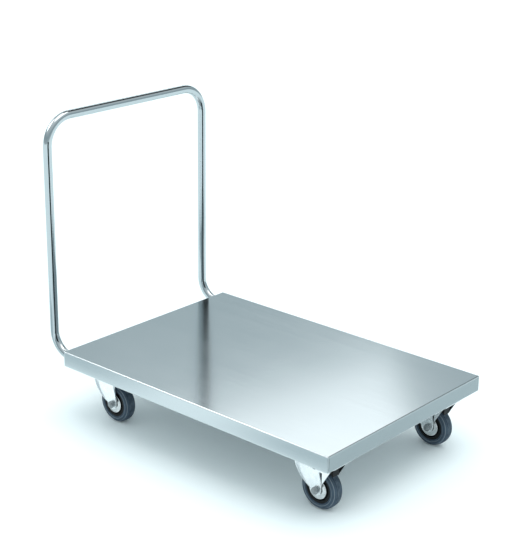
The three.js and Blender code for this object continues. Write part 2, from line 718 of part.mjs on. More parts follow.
// ---------------------------------------------------------------- assembly

const truck = new THREE.Group();

/** Put one named piece into a group. */
function place(group, name, geometry, material) {
  const mesh = new THREE.Mesh(geometry, material);
  mesh.name = name;
  group.add(mesh);
}

place(truck, "deck_tray", deckTray(), stainless());
place(truck, "push_handle", pushHandle(), polishedTube());
place(truck, "handle_backing_plate_right", backingPlate(-1), stainless());
place(truck, "handle_backing_plate_left", backingPlate(1), stainless());
place(truck, "rear_cross_member", crossMember(REAR_CASTER_X), stainless());
place(truck, "front_cross_member", crossMember(FRONT_CASTER_X), stainless());
place(truck, "right_stiffener", stiffener(-1), stainless());
place(truck, "left_stiffener", stiffener(1), stainless());

for (const [end, x, braked] of [["rear", REAR_CASTER_X, false], ["front", FRONT_CASTER_X, true]]) {
  for (const [side, y] of [["right", -CASTER_Y], ["left", CASTER_Y]]) {
    const corner = `${end}_${side}`;
    const caster = new THREE.Group();
    caster.position.set(x, y, 0);
    place(caster, `${corner}_top_plate`, topPlate(), zincPlate());
    place(caster, `${corner}_swivel_bearing`, swivelBearing(), hardSteel());
    place(caster, `${corner}_kingpin`, kingpin(), hardSteel());
    place(caster, `${corner}_fork`, fork(braked), zincPlate());
    place(caster, `${corner}_tyre`, tyre(), blueRubber());
    place(caster, `${corner}_rim`, rim(), blackNylon());
    place(caster, `${corner}_hub_cover_right`, hubCover(-1), zincPlate());
    place(caster, `${corner}_hub_cover_left`, hubCover(1), zincPlate());
    place(caster, `${corner}_wheel_bearing`, wheelBearing(), hardSteel());
    place(caster, `${corner}_axle_bolt`, axleBolt(), hardSteel());
    place(caster, `${corner}_axle_nut`, axleNut(), hardSteel());
    if (braked) {
      place(caster, `${corner}_brake_lever`, brakeLever(), zincPlate());
      place(caster, `${corner}_brake_pin`, brakePin(), hardSteel());
      place(caster, `${corner}_brake_block`, brakeBlock(), blackNylon());
    }
    truck.add(caster);
  }
}

export default truck;
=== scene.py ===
"""Flatbed platform truck: finished pieces, finishes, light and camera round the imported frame.

Every length is in metres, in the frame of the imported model: the floor is Z = 0, +X is the front end
of the deck and -Y is its right side. Each sub-assembly is a class that builds and dresses its pieces.
"""

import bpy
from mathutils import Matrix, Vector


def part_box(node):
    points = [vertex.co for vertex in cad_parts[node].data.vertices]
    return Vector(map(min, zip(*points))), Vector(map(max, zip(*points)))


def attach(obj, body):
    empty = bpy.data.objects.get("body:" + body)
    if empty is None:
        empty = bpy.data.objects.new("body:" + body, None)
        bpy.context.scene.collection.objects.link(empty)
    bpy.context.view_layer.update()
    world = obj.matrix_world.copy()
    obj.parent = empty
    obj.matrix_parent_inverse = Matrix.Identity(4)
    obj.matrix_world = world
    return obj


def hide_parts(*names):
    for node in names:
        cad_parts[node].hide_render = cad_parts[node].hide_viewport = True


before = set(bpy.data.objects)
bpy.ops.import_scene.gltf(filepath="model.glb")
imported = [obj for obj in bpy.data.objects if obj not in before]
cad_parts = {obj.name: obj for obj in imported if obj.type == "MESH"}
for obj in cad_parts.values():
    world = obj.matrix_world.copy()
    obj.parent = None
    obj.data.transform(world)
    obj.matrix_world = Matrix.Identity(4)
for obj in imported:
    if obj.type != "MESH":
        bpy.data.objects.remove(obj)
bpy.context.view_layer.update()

import logging
import math
from dataclasses import dataclass, field
from enum import Enum
from typing import Any, Callable, Sequence

import bmesh
import bpy
from mathutils import Matrix, Vector

LOG = logging.getLogger("platform_truck")
MM = 0.001
SHARP_ANGLE = math.radians(32)
CORNERS = [f"{end}_{side}" for end in ("rear", "front") for side in ("right", "left")]
TUBE_RADIUS = 13.5 * MM

Point = tuple[float, float]
Colour = tuple[float, float, float]
Station = tuple[Vector, Vector, float, float, float, float]


# ---------------------------------------------------------------- node trees


class Sig:
    """A node socket that takes part in Python arithmetic; each operation adds one Math node."""

    def __init__(self, tree: "NodeTree", socket: bpy.types.NodeSocket) -> None:
        """Wrap a socket.

        Args:
            tree: The tree that the socket belongs to.
            socket: The output socket.
        """
        self.tree = tree
        self.socket = socket

    def _math(self, operation: str, first: Any, second: Any = None) -> "Sig":
        """Add a Math node and return its result."""
        values = {0: first} if second is None else {0: first, 1: second}
        return self.tree.add("ShaderNodeMath", {"operation": operation}, values)

    def __add__(self, other: Any) -> "Sig":
        """Return self + other."""
        return self._math("ADD", self, other)

    def __radd__(self, other: Any) -> "Sig":
        """Return other + self."""
        return self._math("ADD", other, self)

    def __sub__(self, other: Any) -> "Sig":
        """Return self - other."""
        return self._math("SUBTRACT", self, other)

    def __rsub__(self, other: Any) -> "Sig":
        """Return other - self."""
        return self._math("SUBTRACT", other, self)

    def __mul__(self, other: Any) -> "Sig":
        """Return self * other."""
        return self._math("MULTIPLY", self, other)

    def __rmul__(self, other: Any) -> "Sig":
        """Return other * self."""
        return self._math("MULTIPLY", other, self)

    def __truediv__(self, other: Any) -> "Sig":
        """Return self / other."""
        return self._math("DIVIDE", self, other)

    def __pow__(self, other: Any) -> "Sig":
        """Return self to the power of other."""
        return self._math("POWER", self, other)

    def __abs__(self) -> "Sig":
        """Return the size of self without its sign."""
        return self._math("ABSOLUTE", self)

    def rise(self, low: float, high: float) -> "Sig":
        """Return a smooth step from 0 at low to 1 at high.

        Args:
            low: The value that gives 0.
            high: The value that gives 1, which may be below low.

        Returns:
            The smooth step.
        """
        flip = high < low
        settings = {"interpolation_type": "SMOOTHSTEP"}
        start, end = (high, low) if flip else (low, high)
        values = {"Value": self, "From Min": start, "From Max": end}
        step = self.tree.add("ShaderNodeMapRange", settings, values)
        return 1.0 - step if flip else step


class NodeTree:
    """A node tree, for a shader or for geometry, that is written with Python expressions."""

    def __init__(self, tree: bpy.types.NodeTree) -> None:
        """Take over an empty tree.

        Args:
            tree: The tree to fill.
        """
        self.tree = tree

    def node(self, kind: str, settings: dict[str, Any], values: dict[Any, Any]) -> bpy.types.Node:
        """Add a node.

        Args:
            kind: The node's type.
            settings: The node's own properties, and "stops" for a colour ramp.
            values: Socket values or links, by socket name or number.

        Returns:
            The node.
        """
        made = self.tree.nodes.new(kind)
        for name, value in settings.items():
            if name == "stops":
                self._set_stops(made, value)
            else:
                setattr(made, name, value)
        for key, value in values.items():
            socket = made.inputs[key]
            for part in value if isinstance(value, list) else [value]:
                if isinstance(part, Sig):
                    self.tree.links.new(part.socket, socket)
                else:
                    socket.default_value = part
        return made

    def add(self, kind: str, settings: dict[str, Any], values: dict[Any, Any], output: Any = 0) -> Sig:
        """Add a node and return one of its outputs.

        Args:
            kind: The node's type.
            settings: The node's own properties.
            values: Socket values or links.
            output: The name or number of the output.

        Returns:
            The wrapped output.
        """
        return Sig(self, self.node(kind, settings, values).outputs[output])

    @staticmethod
    def _set_stops(ramp: bpy.types.Node, stops: Sequence[tuple[float, Colour]]) -> None:
        """Set a colour ramp's stops.

        Args:
            ramp: The ramp's node.
            stops: Pairs of place and colour.
        """
        elements = ramp.color_ramp.elements
        while len(elements) < len(stops):
            elements.new(0.5)
        for element, (place, colour) in zip(elements, stops):
            element.position = place
            element.color = (*colour, 1.0)

    def mix(self, factor: Any, first: Any, second: Any) -> Sig:
        """Blend two colours.

        Args:
            factor: 0 for the first colour, 1 for the second.
            first: A colour or a colour socket.
            second: A colour or a colour socket.

        Returns:
            The blended colour.
        """
        node = self.node("ShaderNodeMix", {"data_type": "RGBA"}, {"Factor": factor})
        for key, value in ((6, first), (7, second)):
            if isinstance(value, Sig):
                self.tree.links.new(value.socket, node.inputs[key])
            else:
                node.inputs[key].default_value = (*value, 1.0)
        return Sig(self, node.outputs[2])

    def vector(self, operation: str, values: dict[Any, Any], output: Any = 0) -> Sig:
        """Add a Vector Math node and return one of its outputs."""
        return self.add("ShaderNodeVectorMath", {"operation": operation}, values, output)


class ShapeTree(NodeTree):
    """A Geometry Nodes tree with named inputs, which ends in real geometry with its material."""

    def __init__(self, name: str, inputs: dict[str, str]) -> None:
        """Start the tree with its inputs.

        Args:
            name: The tree's name.
            inputs: The kind of each input, by its name.
        """
        group = bpy.data.node_groups.new(name, "GeometryNodeTree")
        super().__init__(group)
        for label, kind in {**inputs, "material": "Material"}.items():
            group.interface.new_socket(label, in_out="INPUT", socket_type=f"NodeSocket{kind}")
        group.interface.new_socket("shape", in_out="OUTPUT", socket_type="NodeSocketGeometry")
        given = self.node("NodeGroupInput", {}, {})
        self.given = {socket.name: Sig(self, socket) for socket in given.outputs if socket.name}

    def close(self, shape: Sig) -> bpy.types.NodeTree:
        """End the tree.

        Args:
            shape: The geometry that the tree has made.

        Returns:
            The finished tree.
        """
        real = self.add("GeometryNodeRealizeInstances", {}, {0: shape})
        values = {"Geometry": real, "Material": self.given["material"]}
        self.node("NodeGroupOutput", {}, {"shape": self.add("GeometryNodeSetMaterial", {}, values)})
        return self.tree


# ---------------------------------------------------------------- finishes


class Grain(Enum):
    """The way a brushed or rolled grain runs."""

    ALONG_X = (2.0, 260.0, 260.0)
    ALONG_Y = (260.0, 2.0, 260.0)
    ALONG_Z = (260.0, 260.0, 2.0)


@dataclass(frozen=True)
class Finish:
    """What all finishes share: a colour, a gloss and the slot of the record that they belong to."""

    name: str
    slot: str
    colour: Colour
    roughness: float
    metallic: float = 0.0
    specular: float = 0.5

    def noise(self, tree: NodeTree, place: Sig, scale: Any, detail: float = 2.0) -> Sig:
        """Return noise on a stretched or even grid.

        Args:
            tree: The material's tree.
            place: The coordinates.
            scale: One number, or three that stretch the grid.
            detail: How many finer layers the noise has.

        Returns:
            The noise, about 0.5 on average.
        """
        if isinstance(scale, tuple):
            place = tree.vector("MULTIPLY", {0: place, 1: scale})
            scale = 1.0
        values = {"Vector": place, "Scale": scale, "Detail": detail, "Roughness": 0.55}
        return tree.add("ShaderNodeTexNoise", {}, values, "Fac")

    def bump(self, tree: NodeTree, height: Sig, depth: float, strength: float = 1.0) -> Sig:
        """Return a normal bent by a height.

        Args:
            tree: The material's tree.
            height: The height, from 0 to 1.
            depth: How deep the relief is.
            strength: How much of it counts.

        Returns:
            The bent normal.
        """
        return tree.add("ShaderNodeBump", {}, {"Height": height, "Distance": depth, "Strength": strength})

    def surface(self, tree: NodeTree, place: Sig) -> dict[str, Any]:
        """Return what the shader's sockets get; each finish has its own."""
        return {"Base Color": (*self.colour, 1.0), "Roughness": self.roughness}

    def make(self, centre: Sequence[float] = (0.0, 0.0, 0.0)) -> bpy.types.Material:
        """Build the material.

        Args:
            centre: The point that the pattern is centred on.

        Returns:
            The material.
        """
        material = bpy.data.materials.new(self.name)
        material.use_nodes = True
        material.node_tree.nodes.clear()
        tree = NodeTree(material.node_tree)
        place = tree.add("ShaderNodeTexCoord", {}, {}, "Object")
        offset = tuple(-value for value in centre)
        place = tree.add("ShaderNodeMapping", {}, {"Vector": place, "Location": offset})
        values = {"Metallic": self.metallic, "Specular IOR Level": self.specular, **self.surface(tree, place)}
        shader = tree.add("ShaderNodeBsdfPrincipled", {}, values)
        tree.node("ShaderNodeOutputMaterial", {}, {"Surface": shader})
        return material


@dataclass(frozen=True)
class BrushedSteel(Finish):
    """Stainless steel with a directional grain, faint cloudiness and a few handling marks."""

    metallic: float = 1.0
    grain: Grain = Grain.ALONG_X
    relief: float = 0.00002
    clouding: float = 0.03
    scratches: float = 0.0

    def surface(self, tree: NodeTree, place: Sig) -> dict[str, Any]:
        """Return the grain's colour, gloss and relief.

        Args:
            tree: The material's tree.
            place: The coordinates.

        Returns:
            The values of the shader's sockets.
        """
        fine = self.noise(tree, place, self.grain.value, 3.0)
        broad = self.noise(tree, place, tuple(value * 0.12 for value in self.grain.value), 2.0)
        cloud = self.noise(tree, place, 5.0, 3.0)
        shade = (fine - 0.5) * 0.10 + (broad - 0.5) * 0.08 + (cloud - 0.5) * self.clouding + 0.5
        dark = tuple(value * 0.86 for value in self.colour)
        light = tuple(min(1.0, value * 1.1) for value in self.colour)
        colour = tree.mix(shade, dark, light)
        gloss = self.roughness + (fine - 0.5) * 0.10 + (cloud - 0.5) * 0.05
        height = fine * 0.7 + broad * 0.3
        if self.scratches:
            stretched = tree.vector("MULTIPLY", {0: place, 1: (3.0, 55.0, 20.0)})
            values = {"Vector": stretched, "Scale": 1.0}
            cell = tree.add("ShaderNodeTexVoronoi", {"feature": "DISTANCE_TO_EDGE"}, values)
            mark = cell.rise(0.012, 0.0) * self.noise(tree, place, 9.0).rise(0.56, 0.7)
            gloss = gloss + mark * self.scratches
            height = height - mark * self.scratches
        normal = self.bump(tree, height, self.relief)
        return {"Base Color": colour, "Roughness": gloss, "Normal": normal}


@dataclass(frozen=True)
class ZincPlate(Finish):
    """Bright zinc plate: a fine spangle, faint blue passivation and dull patches."""

    metallic: float = 1.0
    relief: float = 0.000025

    def surface(self, tree: NodeTree, place: Sig) -> dict[str, Any]:
        """Return the plating's colour, gloss and relief.

        Args:
            tree: The material's tree.
            place: The coordinates.

        Returns:
            The values of the shader's sockets.
        """
        spangle = tree.add("ShaderNodeTexVoronoi", {}, {"Vector": place, "Scale": 420.0}, "Color")
        fleck = tree.add("ShaderNodeSeparateColor", {}, {"Color": spangle})
        haze = self.noise(tree, place, 38.0, 4.0)
        grit = self.noise(tree, place, 900.0, 2.0)
        pale = tuple(min(1.0, value * 1.06) for value in self.colour)
        cool = (self.colour[0] * 0.93, self.colour[1] * 0.955, self.colour[2] * 0.98)
        colour = tree.mix(fleck * 0.4 + haze.rise(0.3, 0.75) * 0.6, pale, cool)
        gloss = self.roughness + (haze - 0.5) * 0.10 + (fleck - 0.5) * 0.04
        normal = self.bump(tree, grit * 0.5 + haze * 0.5, self.relief)
        return {"Base Color": colour, "Roughness": gloss, "Normal": normal}


@dataclass(frozen=True)
class TurnedSteel(Finish):
    """Machined or drawn steel: rings left by the tool about the piece's own axis."""

    metallic: float = 1.0
    ring_pitch: float = 0.0011
    relief: float = 0.00004

    def surface(self, tree: NodeTree, place: Sig) -> dict[str, Any]:
        """Return the rings' colour, gloss and relief.

        Args:
            tree: The material's tree.
            place: The coordinates, centred on the axis.

        Returns:
            The values of the shader's sockets.
        """
        flat = tree.vector("MULTIPLY", {0: place, 1: (1.0, 0.0, 1.0)})
        radius = tree.vector("LENGTH", {0: flat}, "Value")
        rings = tree.add("ShaderNodeMath", {"operation": "SINE"}, {0: radius * (math.tau / self.ring_pitch)})
        haze = self.noise(tree, place, 60.0, 3.0)
        dark = tuple(value * 0.82 for value in self.colour)
        colour = tree.mix(rings * 0.12 + haze * 0.6 + 0.2, dark, self.colour)
        gloss = self.roughness + (haze - 0.5) * 0.18 + rings * 0.02
        normal = self.bump(tree, rings * 0.5 + haze, self.relief)
        return {"Base Color": colour, "Roughness": gloss, "Normal": normal}


@dataclass(frozen=True)
class Rubber(Finish):
    """Moulded rubber: a matt skin with fine pores, faint bloom, a dusting where it has rolled and a painted
    highlight on its two side-wall ridges.
    """

    # The pale colour that rolled dust and the painted ridge highlight lean towards.
    dust_and_highlight_colour: Colour = (0.36, 0.40, 0.43)
    tread_radius: float = 0.0625
    inner_ridge: float = 0.0488
    outer_ridge: float = 0.0574

    def surface(self, tree: NodeTree, place: Sig) -> dict[str, Any]:
        """Return the skin's colour, gloss and relief.

        Args:
            tree: The material's tree.
            place: The coordinates, centred on the axle.

        Returns:
            The values of the shader's sockets.
        """
        flat = tree.vector("MULTIPLY", {0: place, 1: (1.0, 0.0, 1.0)})
        radius = tree.vector("LENGTH", {0: flat}, "Value")
        bloom = self.noise(tree, place, 55.0, 4.0)
        pores = self.noise(tree, place, 1500.0, 2.0)
        rolled = radius.rise(self.tread_radius - 0.0022, self.tread_radius - 0.0002)
        deep = tuple(value * 0.72 for value in self.colour)
        skin = tree.mix(bloom.rise(0.3, 0.75), deep, self.colour)
        # Painted highlight: the two side-wall ridges are lightened, standing in for light catching them.
        inner = abs(radius - self.inner_ridge).rise(0.0012, 0.0003)
        outer = abs(radius - self.outer_ridge).rise(0.001, 0.0002)
        ridges = inner + outer
        # Real dust where it has rolled and in random patches, plus the painted ridge highlight.
        dust_and_ridge_highlight = rolled * bloom.rise(0.35, 0.7) * 0.12 + bloom.rise(0.6, 0.8) * 0.05 + ridges * 0.4
        colour = tree.mix(dust_and_ridge_highlight, skin, self.dust_and_highlight_colour)
        gloss = self.roughness + (bloom - 0.5) * 0.2 + rolled * 0.1
        normal = self.bump(tree, pores * 0.6 + bloom * 0.4, 0.00012)
        return {"Base Color": colour, "Roughness": gloss, "Normal": normal}


@dataclass(frozen=True)
class MouldedNylon(Finish):
    """Black nylon with a fine eroded mould texture and slight scuffs."""

    def surface(self, tree: NodeTree, place: Sig) -> dict[str, Any]:
        """Return the moulding's colour, gloss and relief.

        Args:
            tree: The material's tree.
            place: The coordinates.

        Returns:
            The values of the shader's sockets.
        """
        erosion = self.noise(tree, place, 1100.0, 2.0)
        scuff = self.noise(tree, place, 90.0, 4.0).rise(0.58, 0.75)
        worn = tuple(value + 0.035 for value in self.colour)
        colour = tree.mix(scuff * 0.5, self.colour, worn)
        gloss = self.roughness + scuff * 0.15 + (erosion - 0.5) * 0.1
        normal = self.bump(tree, erosion, 0.00008)
        return {"Base Color": colour, "Roughness": gloss, "Normal": normal}


@dataclass(frozen=True)
class WeldMetal(Finish):
    """A brushed weld bead with straw and blue heat tint."""

    metallic: float = 1.0

    def surface(self, tree: NodeTree, place: Sig) -> dict[str, Any]:
        """Return the bead's colour, gloss and relief.

        Args:
            tree: The material's tree.
            place: The coordinates.

        Returns:
            The values of the shader's sockets.
        """
        tint = self.noise(tree, place, 130.0, 3.0)
        straw = (self.colour[0], self.colour[1] * 0.9, self.colour[2] * 0.72)
        colour = tree.mix(tint.rise(0.35, 0.7), self.colour, straw)
        normal = self.bump(tree, self.noise(tree, place, 700.0, 2.0), 0.0001)
        return {"Base Color": colour, "Roughness": self.roughness + (tint - 0.5) * 0.2, "Normal": normal}


@dataclass(frozen=True)
class FadedCard(Finish):
    """A grey card that fades to the floor's own colour along X; a painted reflection of shaded floor."""

    bright_at: float = 0.0
    reach: float = 0.5
    bright: Colour = (0.88, 0.93, 0.95)

    def surface(self, tree: NodeTree, place: Sig) -> dict[str, Any]:
        """Return the card's fading colour.

        Args:
            tree: The material's tree.
            place: The coordinates.

        Returns:
            The values of the shader's sockets.
        """
        along = tree.add("ShaderNodeSeparateXYZ", {}, {"Vector": place})
        fade = abs(along - self.bright_at).rise(0.03, self.reach)
        return {"Base Color": tree.mix(fade, self.bright, self.colour), "Roughness": self.roughness}


DECK_STEEL = BrushedSteel("deck_stainless", "deck_steel", (0.60, 0.645, 0.66), 0.17, scratches=0.08)
FRAME_STEEL = BrushedSteel("frame_stainless", "deck_steel", (0.6, 0.64, 0.65), 0.34, grain=Grain.ALONG_Y)
TUBE_STEEL = BrushedSteel(
    "tube_stainless", "handle_tube", (0.49, 0.54, 0.56), 0.12, grain=Grain.ALONG_Z, relief=0.000008
)
ZINC = ZincPlate("bright_zinc", "zinc_plate", (0.93, 0.945, 0.95), 0.28)
TURNED = TurnedSteel("turned_steel", "fastener_steel", (0.38, 0.40, 0.41), 0.3)
HUB_STEEL = TurnedSteel("hub_steel", "zinc_plate", (0.87, 0.88, 0.88), 0.24)
TYRE_RUBBER = Rubber("blue_grey_rubber", "tyre_rubber", (0.05, 0.08, 0.115), 0.55, specular=0.3)
NYLON = MouldedNylon("black_nylon", "black_nylon", (0.006, 0.007, 0.008), 0.5, specular=0.25)
WELD = WeldMetal("weld_bead", "deck_steel", (0.66, 0.68, 0.69), 0.38)
# Cards that show only in reflections: painted reflections of dark and shaded surroundings.
DARK_CARD = Finish("dark_card", "", (0.004, 0.01, 0.013), 0.9)
FRONT_CARD = FadedCard("front_fade", "", (0.45, 0.51, 0.53), 0.9, bright_at=2.0)
SIDE_CARD = FadedCard("side_fade", "", (0.47, 0.54, 0.57), 0.9, bright_at=-0.25)


# ---------------------------------------------------------------- outlines and solids


def filleted(points: Sequence[Point], radii: float | Sequence[float], steps: int = 4) -> list[Point]:
    """Round the corners of a closed outline.

    Args:
        points: The corners.
        radii: One radius, or one for each corner; 0 keeps a corner sharp.
        steps: The pieces that each round is made of.

    Returns:
        The outline's points.
    """
    if isinstance(radii, (int, float)):
        radii = [radii] * len(points)
    made: list[Point] = []
    for index, corner in enumerate(points):
        here = Vector(corner)
        back = Vector(points[index - 1]) - here
        ahead = Vector(points[(index + 1) % len(points)]) - here
        half = back.angle(ahead) / 2
        reach = min(radii[index] / math.tan(half), 0.49 * back.length, 0.49 * ahead.length)
        if reach < 1e-7:
            made.append(tuple(here))
            continue
        radius = reach * math.tan(half)
        middle = here + (back.normalized() + ahead.normalized()).normalized() * (radius / math.sin(half))
        start = here + back.normalized() * reach - middle
        end = here + ahead.normalized() * reach - middle
        turn = start.angle_signed(end)
        for step in range(steps + 1):
            angle = -turn * step / steps
            spun = Matrix.Rotation(angle, 2) @ start
            made.append(tuple(middle + spun))
    return made


def arc(centre: Point, radius: float, start: float, end: float, steps: int) -> list[Point]:
    """Return points on an arc.

    Args:
        centre: The arc's centre.
        radius: Its radius.
        start: The first angle, in degrees.
        end: The last angle, in degrees.
        steps: The pieces that it is made of.

    Returns:
        The points, both ends included.
    """
    angles = [math.radians(start + (end - start) * step / steps) for step in range(steps + 1)]
    return [(centre[0] + radius * math.cos(a), centre[1] + radius * math.sin(a)) for a in angles]


def rectangle(left: float, low: float, right: float, high: float) -> list[Point]:
    """Return a rectangle's corners, anticlockwise from the lower left."""
    return [(left, low), (right, low), (right, high), (left, high)]


def mirrored(side: Sequence[Point]) -> list[Point]:
    """Return a profile with its mirror image, which turns into a piece with two equal sides."""
    return [*side, *((radius, -place) for radius, place in reversed(side))]


def add_object(name: str, data: Any) -> bpy.types.Object:
    """Make an object from its data and put it in the scene.

    Args:
        name: The object's name.
        data: Its mesh, light or camera.

    Returns:
        The object.
    """
    made = bpy.data.objects.new(name, data)
    bpy.context.scene.collection.objects.link(made)
    return made


def add_piece(name: str, data: bpy.types.Mesh) -> bpy.types.Object:
    """Make an object from a mesh, smooth except at its real edges.

    Args:
        name: The piece's name.
        data: Its mesh.

    Returns:
        The piece.
    """
    data.shade_smooth()
    data.set_sharp_from_angle(angle=SHARP_ANGLE)
    return add_object(name, data)


class Axis(Enum):
    """A turning axis, as the directions of its length and of its first and second radius."""

    X = (Vector((1, 0, 0)), Vector((0, 1, 0)), Vector((0, 0, 1)))
    Y = (Vector((0, 1, 0)), Vector((0, 0, 1)), Vector((1, 0, 0)))
    Z = (Vector((0, 0, 1)), Vector((1, 0, 0)), Vector((0, 1, 0)))


class Plane(Enum):
    """The plane that an outline is drawn in; it is extruded along the third direction."""

    XZ = (Vector((1, 0, 0)), Vector((0, 0, 1)), Vector((0, 1, 0)))
    YZ = (Vector((0, 1, 0)), Vector((0, 0, 1)), Vector((1, 0, 0)))
    XY = (Vector((1, 0, 0)), Vector((0, 1, 0)), Vector((0, 0, 1)))


class Blank:
    """The mesh of one piece while it is being made."""

    def __init__(self) -> None:
        """Start with nothing."""
        self.mesh = bmesh.new()

    def loft(self, rings: Sequence[Sequence[Vector]], closed: bool = False) -> "Blank":
        """Join rings of points into a skin.

        Args:
            rings: The rings, each with the same number of points.
            closed: True where the last ring meets the first; otherwise both ends are capped.

        Returns:
            The blank itself.
        """
        rows = [[self.mesh.verts.new(point) for point in ring] for ring in rings]
        joints = list(zip(rows, rows[1:]))
        if closed:
            joints.append((rows[-1], rows[0]))
        for low, high in joints:
            for index, vertex in enumerate(low):
                after = (index + 1) % len(low)
                self.mesh.faces.new((vertex, low[after], high[after], high[index]))
        if not closed:
            self.mesh.faces.new(rows[0])
            self.mesh.faces.new(list(reversed(rows[-1])))
        return self

    def turn(
        self,
        profile: Sequence[Point],
        centre: Sequence[float],
        axis: Axis,
        sides: int,
        hollow: bool = False,
        swell: Callable[[float], float] | None = None,
    ) -> "Blank":
        """Turn a profile about an axis.

        Args:
            profile: Pairs of radius and place along the axis.
            centre: The point that the places are measured from.
            axis: The turning axis.
            sides: The number of sides.
            hollow: True where the profile closes on itself.
            swell: How much the profile grows at an angle, for a rippled ring.

        Returns:
            The blank itself.
        """
        along, first, second = axis.value
        middle = Vector(centre)
        rings = []
        for step in range(sides):
            angle = math.tau * step / sides
            outward = first * math.cos(angle) + second * math.sin(angle)
            grow = swell(angle) if swell else 1.0
            rings.append([middle + outward * (radius * grow) + along * place for radius, place in profile])
        rows = [[self.mesh.verts.new(point) for point in ring] for ring in rings]
        stretches = len(profile) if hollow else len(profile) - 1
        for index, row in enumerate(rows):
            other = rows[(index + 1) % sides]
            for step in range(stretches):
                after = (step + 1) % len(profile)
                self.mesh.faces.new((row[step], row[after], other[after], other[step]))
        return self

    def extrude(self, outline: Sequence[Point], plane: Plane, low: float, high: float) -> "Blank":
        """Give an outline a thickness.

        Args:
            outline: The outline's points.
            plane: The plane that it is drawn in.
            low: Where the solid starts.
            high: Where it ends.

        Returns:
            The blank itself.
        """
        across, up, away = plane.value
        rings = [[across * a + up * b + away * level for a, b in outline] for level in (low, high)]
        return self.loft(rings)

    def finish(self, name: str) -> bpy.types.Object:
        """Merge doubles, turn the faces outwards and make the object.

        Args:
            name: The piece's name.

        Returns:
            The object, smooth except at its real edges.
        """
        bmesh.ops.remove_doubles(self.mesh, verts=self.mesh.verts, dist=1e-6)
        bmesh.ops.dissolve_degenerate(self.mesh, edges=self.mesh.edges, dist=1e-7)
        bmesh.ops.recalc_face_normals(self.mesh, faces=self.mesh.faces)
        data = bpy.data.meshes.new(name)
        self.mesh.to_mesh(data)
        self.mesh.free()
        return add_piece(name, data)


def bevel(piece: bpy.types.Object, width: float, segments: int = 2) -> bpy.types.Object:
    """Round a piece's sharp edges with a live modifier.

    Args:
        piece: The piece.
        width: The width of each round.
        segments: The faces across it.

    Returns:
        The piece.
    """
    modifier = piece.modifiers.new("edges", "BEVEL")
    modifier.width = width
    modifier.segments = segments
    modifier.limit_method = "ANGLE"
    modifier.angle_limit = math.radians(35)
    modifier.harden_normals = False
    return piece


def dress(
    piece: bpy.types.Object,
    body: str,
    finish: Finish,
    stands_for: Sequence[str] = (),
    centre: Sequence[float] = (0.0, 0.0, 0.0),
) -> bpy.types.Object:
    """Give a piece its material, its body and the nodes that it stands for.

    A live modifier keeps its broad flat faces flat beside its rounds.

    Args:
        piece: The finished piece.
        body: The body that it moves with.
        finish: Its finish.
        stands_for: The CAD nodes that it replaces.
        centre: The point that its pattern is centred on.

    Returns:
        The piece.
    """
    flats = piece.modifiers.new("flats", "WEIGHTED_NORMAL")
    flats.keep_sharp = True
    piece.data.materials.clear()
    piece.data.materials.append(finish.make(centre))
    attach(piece, body)
    if stands_for:
        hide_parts(*stands_for)
    LOG.info("%s rides on %s, %d faces", piece.name, body, len(piece.data.polygons))
    return piece


def span(node: str) -> tuple[Vector, Vector, Vector]:
    """Return a node's lowest corner, highest corner and middle."""
    low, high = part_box(node)
    return low, high, (low + high) / 2


# ---------------------------------------------------------------- what repeats


class Repeater:
    """A Geometry Nodes tree that sets a prototype on points, and turns the result into a plain mesh."""

    def __init__(self, name: str) -> None:
        """Build the tree.

        Args:
            name: The tree's name.
        """
        kinds = {"points": "Geometry", "prototype": "Object", "turn": "Float", "seed": "Int"}
        tree = ShapeTree(name, kinds)
        take = tree.given
        model = tree.add("GeometryNodeObjectInfo", {}, {"Object": take["prototype"]}, "Geometry")
        values = {2: 0.0, 3: take["turn"], "Seed": take["seed"]}
        spin = tree.add("FunctionNodeRandomValue", {"data_type": "FLOAT"}, values, 1)
        turn = tree.add("ShaderNodeCombineXYZ", {}, {"Z": spin})
        values = {"Points": take["points"], "Instance": model, "Rotation": turn}
        self.group = tree.close(tree.add("GeometryNodeInstanceOnPoints", {}, values))

    def spread(
        self, name: str, prototype: bpy.types.Object, points: Sequence[Vector], turn: float, seed: int
    ) -> bpy.types.Object:
        """Set copies of a prototype on points, and remove the prototype.

        Args:
            name: The piece's name.
            prototype: The object that is copied, which is made about the origin.
            points: Where the copies go.
            turn: The largest random turn about Z.
            seed: The seed of those turns.

        Returns:
            One plain mesh that holds every copy.
        """
        inputs = {"prototype": prototype, "turn": turn, "seed": seed}
        copies = bake_nodes(name, points, [], self.group, inputs)
        bpy.data.objects.remove(prototype)
        return copies


def bake_nodes(
    name: str,
    points: Sequence[Vector],
    edges: Sequence[tuple[int, int]],
    group: bpy.types.NodeTree,
    inputs: dict[str, Any],
) -> bpy.types.Object:
    """Run a Geometry Nodes tree on a carrier mesh and keep its result as a plain mesh.

    Args:
        name: The piece's name.
        points: The carrier's points.
        edges: The carrier's edges.
        group: The tree.
        inputs: The tree's inputs by name.

    Returns:
        The piece.
    """
    carrier_mesh = bpy.data.meshes.new(f"{name}_carrier")
    carrier_mesh.from_pydata([tuple(point) for point in points], list(edges), [])
    carrier = add_object(f"{name}_carrier", carrier_mesh)
    modifier = carrier.modifiers.new("nodes", "NODES")
    modifier.node_group = group
    for item in group.interface.items_tree:
        if item.item_type == "SOCKET" and item.name in inputs:
            modifier[item.identifier] = inputs[item.name]
    bpy.context.view_layer.update()
    evaluated = carrier.evaluated_get(bpy.context.evaluated_depsgraph_get())
    data = bpy.data.meshes.new_from_object(evaluated)
    data.name = name
    bpy.data.objects.remove(carrier)
    shape = bmesh.new()
    shape.from_mesh(data)
    bmesh.ops.recalc_face_normals(shape, faces=shape.faces)
    shape.to_mesh(data)
    shape.free()
    return add_piece(name, data)


